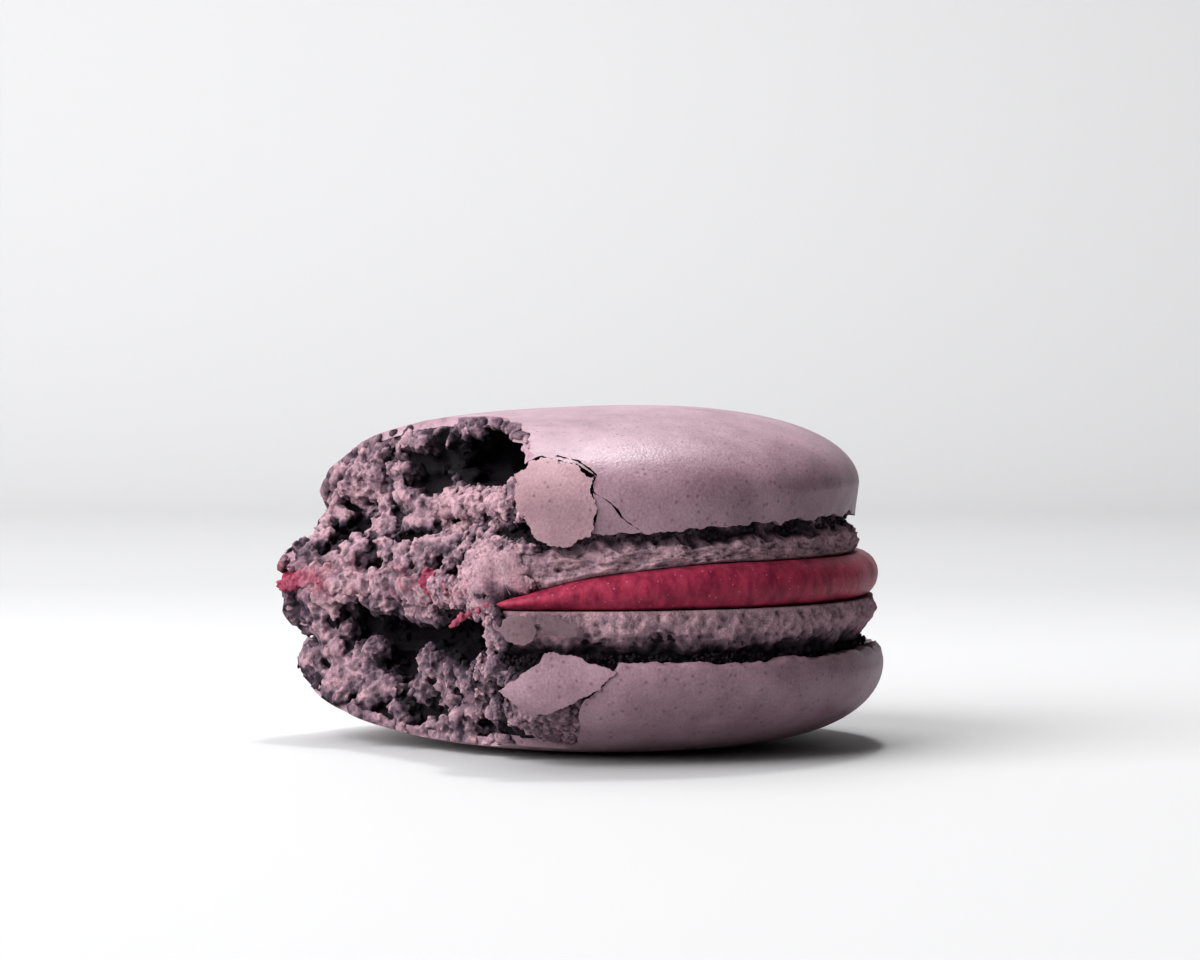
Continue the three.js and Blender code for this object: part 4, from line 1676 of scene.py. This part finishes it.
@dataclass
class BottomShell:
    """The bowl: its crust, broken plates, foot and torn crumb."""

    bite: Bite
    finishes: Finishes
    sizes: BowlSizes = field(default_factory=BowlSizes)
    filling: FillingSizes = field(default_factory=FillingSizes)
    flake: Outline = (
        (-5.3, 5.6), (-3.9, 6.55), (-2.1, 8.3), (0.4, 8.0), (3.0, 7.0), (1.8, 5.7),
        (-0.2, 4.7), (-1.9, 3.9), (-3.2, 4.0),
    )  # fmt: skip
    round_flake: Outline = (
        (-5.4, 9.9), (-4.9, 10.7), (-3.9, 11.0), (-2.9, 10.8), (-2.7, 9.9), (-3.0, 9.2), (-3.9, 8.8), (-4.9, 9.1),
    )  # fmt: skip
    wedge_flake: Outline = ((-2.7, 11.1), (0.2, 10.4), (0.1, 9.5), (-0.9, 9.3), (-2.1, 9.7))
    bare: Outline = (
        (0.2, 1.5), (0.4, 2.8), (0.35, 4.2), (0.7, 5.0), (1.8, 5.7), (3.1, 7.5), (3.2, 9.5), (-8.0, 9.5),
        (-8.0, -1.0), (-2.2, -1.0), (-0.9, 0.7),
    )  # fmt: skip
    node: str = "bottom_shell"

    def surface(self, name: str, grow: float, rim: Outline, thickness: float) -> bpy.types.Object:
        """The bowl as a thin closed shell of crust.

        Args:
            name: The new object's name.
            grow: How far its outside stands out from the bowl's own.
            rim: The rest of its outline above the widest circle, from the axis.
            thickness: How thick the crust is.

        Returns:
            The new object.
        """
        s = self.sizes
        outline = [(s.flat_radius * step / 3, 0.0) for step in range(3)]
        for step in range(27):
            turn = step / 26 * math.pi / 2
            outline.append((s.flat_radius + (s.radius + grow - s.flat_radius) * math.sin(turn), 0.0))
        outline += fine([(s.radius + grow, s.widest_height)] + [(r + grow, z) for r, z in rim], 0.22)[1:]
        bowl = turned(name, outline, s.centre_x, 480)

        def rounded(points: np.ndarray) -> np.ndarray:
            moved = points.copy()
            low = points[:, 2] < 0.01
            moved[:, 2] = np.where(low, s.height(points, grow), points[:, 2])
            radius = np.hypot(points[:, 0] - s.centre_x, points[:, 1])
            edge = ease(points[:, 2], s.widest_height + 0.2, s.rim_height - 0.1)
            rise = 0.24 * lumps(moved, 2.4, 81) + 0.15 * lumps(moved, 1.0, 82) + 0.1 * lumps(moved, 0.45, 83)
            moved[:, 2] += edge * rise
            above = ease(moved[:, 2], 0.3, 3.0)
            return pushed_out(moved, s.centre_x, 0.05 * above * lumps(points, 5.0, 84) + 0 * radius)

        facing_away(reshape(bowl, rounded), (0.0, 0.0, 12.0))
        return with_modifier(bowl, "SOLIDIFY", thickness=thickness, offset=-1.0, use_even_offset=True)

    def build_crust(self) -> bpy.types.Object:
        """The smooth crust of the bowl, bitten off and broken away at its front."""
        s = self.sizes
        rim = ((s.radius - s.rim_inset, s.rim_height - 0.35), (s.radius - 0.6, s.rim_height), (s.radius - 1.4, s.rim_height - 0.1), (19.9, s.rim_height - 0.4))
        crust = self.surface("bottom_crust", 0.0, rim, s.crust)
        bite = self.bite.cutter(-2.0, 10.0, 0.2, 0.0, self.bite.crust_line)
        combine(crust, bite, "DIFFERENCE")
        combine(crust, prism("bare_patch", jagged(self.bare, 0.06, 13), -26.0, -15.2), "DIFFERENCE")
        return crust

    def build_flakes(self) -> None:
        """The broken plates on the front, each tipped a little out of its place."""
        s = self.sizes
        tall = ((s.radius - 0.2, 7.5), (s.radius - 0.5, 9.5))
        plate = self.surface("bottom_flake", 0.1, tall, 0.55)
        combine(plate, prism("plate_outline", jagged(self.flake, 0.09, 17), -26.0, -8.0), "INTERSECT")

        def tipped(points: np.ndarray) -> np.ndarray:
            left = 0.3 * ease(-points[:, 0], -1.5, 5.3) + 0.3 * ease(-points[:, 2], -7.0, -4.0)
            return pushed_out(points, s.centre_x, left)

        finished(reshape(plate, tipped), self.node, self.finishes.crust)
        for name, outline, reach, lean, seed in (
            ("round_flake", self.round_flake, 22.55, 0.42, 19),
            ("wedge_flake", self.wedge_flake, 22.5, 0.5, 23),
        ):
            ring = turned(name, fine([(reach, 8.0), (reach, 12.0)], 0.3), s.centre_x, 480)
            facing_away(ring, (0.0, 0.0, 10.0))
            with_modifier(ring, "SOLIDIFY", thickness=0.65, offset=-1.0, use_even_offset=True)
            combine(ring, prism("plate_outline", jagged(outline, 0.1, seed), -26.0, -8.0), "INTERSECT")
            reshape(ring, lambda points, k=lean: pushed_out(points, s.centre_x, k * (points[:, 2] - 10.0)))
            # the small plates get the crust's darker copy, painted shade
            finished(ring, self.node, self.finishes.painted_shade_plates)

    def build_foot(self) -> bpy.types.Object:
        """The porous foot on the bowl, as a ring whose outside is pitted and torn."""
        s = self.sizes
        top = self.filling.underside - 0.04
        outline = [(18.4, 6.6)] + fine(
            [
                (s.gap_radius, 6.6), (s.gap_radius, s.foot_base - 0.7), (s.foot_radius - 0.7, s.foot_base),
                (s.foot_radius - 0.15, s.foot_base + 0.8), (s.foot_radius, s.foot_base + 1.6),
                (s.foot_radius - 0.1, top), (20.6, top),
            ],
            0.17,
        ) + [(18.4, top), (18.4, 6.6)]  # fmt: skip
        ring = turned("bottom_foot", outline, s.centre_x, 800)

        def rough(points: np.ndarray) -> np.ndarray:
            radius = np.hypot(points[:, 0] - s.centre_x, points[:, 1])
            outside = ease(radius, 19.2, 20.0)
            seated = ease(-points[:, 2], -top, -(top - 0.5))
            out = outside * porous(points, 90) * (0.35 + 0.65 * seated) + squeezed_out(points, s.centre_x)
            moved = pushed_out(points, s.centre_x, out)
            hanging = outside * ease(points[:, 2], 7.0, 8.3) * ease(-points[:, 2], -(s.foot_base + 1.4), -(s.foot_base + 0.2))
            moved[:, 2] += hanging * (0.4 * lumps(points, 2.6, 94) + 0.22 * lumps(points, 0.9, 95))
            return moved

        reshape(ring, rough)
        combine(
            ring, self.bite.cutter(5.0, 12.0, 0.22, 0.0, lambda p: self.bite.crags(p) + torn_edge(p)), "DIFFERENCE"
        )
        return ring

    def build_inside(self) -> bpy.types.Object:
        """The whole inside of the bowl and its foot, before the bite."""
        s = self.sizes
        inner = s.radius - s.crust + 0.03
        outline = [(s.flat_radius * step / 3, 0.0) for step in range(3)]
        for step in range(19):
            outline.append((s.flat_radius + (inner - s.flat_radius) * math.sin(step / 18 * math.pi / 2), 0.0))
        outline += [(21.5, 6.9), (20.0, 7.1), (20.0, 8.6), (20.9, 9.0), (20.9, 11.19), (0.0, 11.19)]
        inside = turned("bottom_inside", outline, s.centre_x, 160)

        def bowl(points: np.ndarray) -> np.ndarray:
            moved = points.copy()
            low = points[:, 2] < 0.01
            moved[:, 2] = np.where(low, s.height(points, -s.crust + 0.03), points[:, 2])
            return moved

        return reshape(inside, bowl)

    def deep_inside(self, points: np.ndarray) -> np.ndarray:
        """Whether each point lies well under the outside of the unbitten inside."""
        s = self.sizes
        radius = np.hypot(points[:, 0] - s.centre_x, points[:, 1])
        z = points[:, 2]
        wall = np.where(z < 6.9, s.radius - s.crust, np.where(z < 8.7, 20.0, 20.9))
        return (z > s.height(points, -s.crust) + 0.22) & (radius < wall - 0.22) & (z < 11.0)

    def painted_gap_shade(self, points: np.ndarray) -> np.ndarray:
        """How far back in the gap over the crust each point of the foot lies, for the painted shade in that gap."""
        radius = np.hypot(points[:, 0] - self.sizes.centre_x, points[:, 1])
        return np.clip(1.3 * (self.sizes.foot_radius - 0.3 - radius), 0.0, 3.0)

    def bare_skin(self, points: np.ndarray) -> np.ndarray:
        """Whether each point lies where the crust broke away from the front."""
        x, y, z = points.T
        return (x > -5.5) & (x < 0.75) & (y < -14.6) & (z < 6.1) & (self.bite.read(points)[0] < 0.06)

    def under_skin(self, points: np.ndarray) -> np.ndarray:
        """About how far each point lies under the bowl's outside."""
        return 0.35 * (points[:, 2] - self.sizes.height(points)) - 0.35

    def hull(self) -> bpy.types.Object:
        """The whole bottom shell before the bite, a hair inside its outside."""
        s = self.sizes
        outline = [(s.flat_radius * step / 3, 0.0) for step in range(3)]
        for step in range(25):
            outline.append((s.flat_radius + (s.radius - s.flat_radius) * math.sin(step / 24 * math.pi / 2), 0.0))
        outline += [(s.radius - 0.1, 7.3), (s.foot_radius + 0.2, 8.6), (s.foot_radius + 0.2, 11.5), (0.0, 11.5)]
        whole = turned("bottom_whole", fine(outline[:28] + outline[28:], 1.2), s.centre_x, 160)

        def bowl(points: np.ndarray) -> np.ndarray:
            moved = points.copy()
            moved[:, 2] = np.where(points[:, 2] < 0.01, s.height(points) + 0.06, points[:, 2])
            return pushed_out(moved, s.centre_x, squeezed_out(moved, s.centre_x))

        return reshape(whole, bowl)

    def sponge(self) -> Sponge:
        """The torn crumb of the bottom shell, with its hollows."""
        return Sponge(
            self.bite, "bottom_crumb", -2.0, 12.5,
            hollows=(
                Hollow(0.3, 8.6, 1.6, (5.9, 4.2, 2.0)),
                Hollow(0.13, 9.3, 0.6, (2.4, 2.4, 1.3)),
                Hollow(0.61, 8.35, 1.2, (5.3, 3.2, 1.1)),
                Hollow(0.79, 9.3, 0.6, (1.2, 1.6, 1.6)),
                Hollow(0.64, 6.2, 0.8, (2.9, 2.1, 1.15)),
                Hollow(0.12, 5.4, 0.6, (2.6, 1.6, 0.75)),
                Hollow(0.19, 2.4, 0.5, (1.7, 1.1, 0.7)),
                Hollow(0.62, 2.95, 0.4, (1.7, 1.1, 0.75)),
            ),
            mounds=(),
            within=self.deep_inside,
            bare=self.bare_skin,
            under=self.under_skin,
            hull=self.hull,
            seed=67,
        )  # fmt: skip

    def build(self) -> None:
        """Builds and dresses the whole bottom shell."""
        crust = self.build_crust()
        self.build_flakes()
        foot = self.build_foot()
        sponge = self.sponge()
        heart = sponge.heart(self.build_inside())
        sponge.open_up(foot, 0.1)
        others = (CrumbPlace(foot, sponge.on_edge, 0.8, 300), CrumbPlace(crust, sponge.on_edge, 0.5, 500))
        sponge.crumb(heart, others, self.node, self.finishes)
        finished(crust, self.node, self.finishes.crust)
        # the heart gets painted shade 0.55 mm deeper than the grains on it
        sponge.shade(heart, 0.55)
        finished(heart, self.node, self.finishes.crumb, None)
        # painted shade on the foot: darker far back in the gap and in its pores
        mark(foot, "depth", self.painted_gap_shade(corners_of(foot)) - 0.35 + 1.5 * sunken(foot, 8))
        finished(foot, self.node, self.finishes.crumb, None)
        grains = fringe("bottom_gap_grains", 2600, (20.1, 21.0), (7.3, 8.0), self.sizes.centre_x, 73)
        along, inward = self.bite.read(corners_of(grains))
        delete_corners(grains, (inward < 0.3) & (along > -0.2) & (along < 1.2))
        # painted shade: the loose grains in the gap are all painted mid-dark
        mark(grains, "depth", np.full(len(grains.data.vertices), 1.0))
        finished(grains, self.node, self.finishes.crumb, 25.0)


# ---------------------------------------------------------------- the studio


@dataclass
class Studio:
    """A paper sweep with painted shade that fades it from white to pale grey, three soft lights and the camera."""

    floor_reach: float = 1.2
    wall_distance: float = 0.55  # metres behind the macaron; further off than any camera that goes round the macaron
    wall_height: float = 1.2
    sweep: float = 0.15
    fade: tuple[float, float] = (0.1, 0.55)  # where the painted shade turns the paper grey, in metres behind the macaron
    shades: tuple[tuple[float, str], ...] = ((0.0, "#aaaaab"), (0.22, "#a0a0a1"), (0.62, "#a6a6a7"), (1.0, "#b4b4b5"))
    camera_place: tuple[float, float, float] = (1.565, -354.825, 33.0)
    look_down: float = 2.1306  # degrees
    lens: float = 141.06

    def paper(self) -> bpy.types.Material:
        """Matt paper with painted shade, which gives the white floor and the pale grey behind it."""
        material, tree = blank_material("matt_paper_painted_shade")
        place = add_node(tree, "ShaderNodeTexCoord").outputs["Object"]
        apart = add_node(tree, "ShaderNodeSeparateXYZ", inputs={"Vector": place})
        share = add_node(
            tree,
            "ShaderNodeMapRange",
            inputs={"Value": apart.outputs["Y"], "From Min": self.fade[0], "From Max": self.fade[1]},
        )
        colour = set_ramp(
            add_node(tree, "ShaderNodeValToRGB", inputs={"Fac": share.outputs["Result"]}),
            self.shades,
        )
        paper = add_node(
            tree, "ShaderNodeBsdfPrincipled", inputs={"Base Color": colour.outputs["Color"], "Roughness": 0.7}
        )
        add_node(tree, "ShaderNodeOutputMaterial", inputs={"Surface": paper.outputs["BSDF"]})
        return material

    def build_backdrop(self) -> None:
        """One sheet that runs from the floor up into the wall."""
        deselect_all()
        bpy.ops.mesh.primitive_plane_add(size=2.0)
        sheet = bpy.context.active_object
        sheet.name = "paper_sweep"
        reach = self.floor_reach
        reshape(sheet, lambda points: points * (reach, reach, 0.0) + (0.0, self.wall_distance - reach, 0.0))
        pick(sheet)
        bpy.ops.object.mode_set(mode="EDIT")
        bpy.ops.mesh.select_all(action="DESELECT")
        bpy.ops.object.mode_set(mode="OBJECT")
        for edge in sheet.data.edges:
            edge.select = all(sheet.data.vertices[i].co.y > self.wall_distance - 0.01 for i in edge.vertices)
        bpy.ops.object.mode_set(mode="EDIT")
        bpy.ops.mesh.select_mode(type="EDGE")
        bpy.ops.mesh.extrude_region_move(TRANSFORM_OT_translate={"value": (0.0, 0.0, self.wall_height)})
        bpy.ops.mesh.select_all(action="DESELECT")
        bpy.ops.object.mode_set(mode="OBJECT")
        for edge in sheet.data.edges:
            ends = [sheet.data.vertices[i].co for i in edge.vertices]
            edge.select = all(end.y > self.wall_distance - 0.01 and end.z < 0.01 for end in ends)
        bpy.ops.object.mode_set(mode="EDIT")
        bpy.ops.mesh.bevel(offset=self.sweep, segments=24, affect="EDGES")
        bpy.ops.object.mode_set(mode="OBJECT")
        bpy.ops.object.shade_smooth()
        sheet.data.materials.append(self.paper())

    def add_light(
        self, name: str, place: tuple[float, float, float], size: float, power: float
    ) -> None:
        """Adds one square soft light that faces the macaron.

        Args:
            name: The light's name.
            place: Where it stands, in metres.
            size: How wide it is, in metres.
            power: How strong it is, in watts.
        """
        deselect_all()
        facing = (Vector((0.0, 0.0, 0.01)) - Vector(place)).to_track_quat("-Z", "Y").to_euler()
        bpy.ops.object.light_add(type="AREA", location=place, rotation=facing)
        lamp = bpy.context.active_object
        lamp.name = name
        lamp.data.size = size
        lamp.data.energy = power

    def build(self) -> None:
        """Builds the backdrop, the lights, the world and the camera."""
        self.build_backdrop()
        self.add_light("left_window", (-0.62, -0.38, 0.5), 0.9, 20.5)
        self.add_light("overhead", (-0.1, 0.2, 0.5), 0.4, 2.5)
        self.add_light("small_lamp", (0.03, 0.18, 0.47), 0.05, 1.1)
        world = bpy.data.worlds.new("pale_room")
        world.use_nodes = True
        world.node_tree.nodes["Background"].inputs["Color"].default_value = linear("#f2f3f5")
        world.node_tree.nodes["Background"].inputs["Strength"].default_value = 0.05
        bpy.context.scene.world = world
        bpy.context.scene.view_settings.view_transform = "Standard"
        place = [value * MM for value in self.camera_place]
        bpy.ops.object.camera_add(location=place, rotation=(math.radians(90.0 - self.look_down), 0.0, 0.0))
        camera = bpy.context.active_object
        camera.data.lens = self.lens
        camera.data.sensor_width = 36.0
        camera.data.clip_start = 0.01
        camera.data.clip_end = 20.0
        bpy.context.scene.camera = camera


def main() -> None:
    """Builds the studio and the macaron from the bottom up."""
    logging.basicConfig(level=logging.INFO, format="%(asctime)s %(message)s")
    Studio().build()
    bite = Bite()
    finishes = Finishes.make()
    BottomShell(bite, finishes).build()
    filling = RedFilling(bite, finishes)
    disc = filling.build()
    TopShell(bite, finishes).build(disc)
    filling.dress(disc)
    deselect_all()


if __name__ == "__main__":
    main()
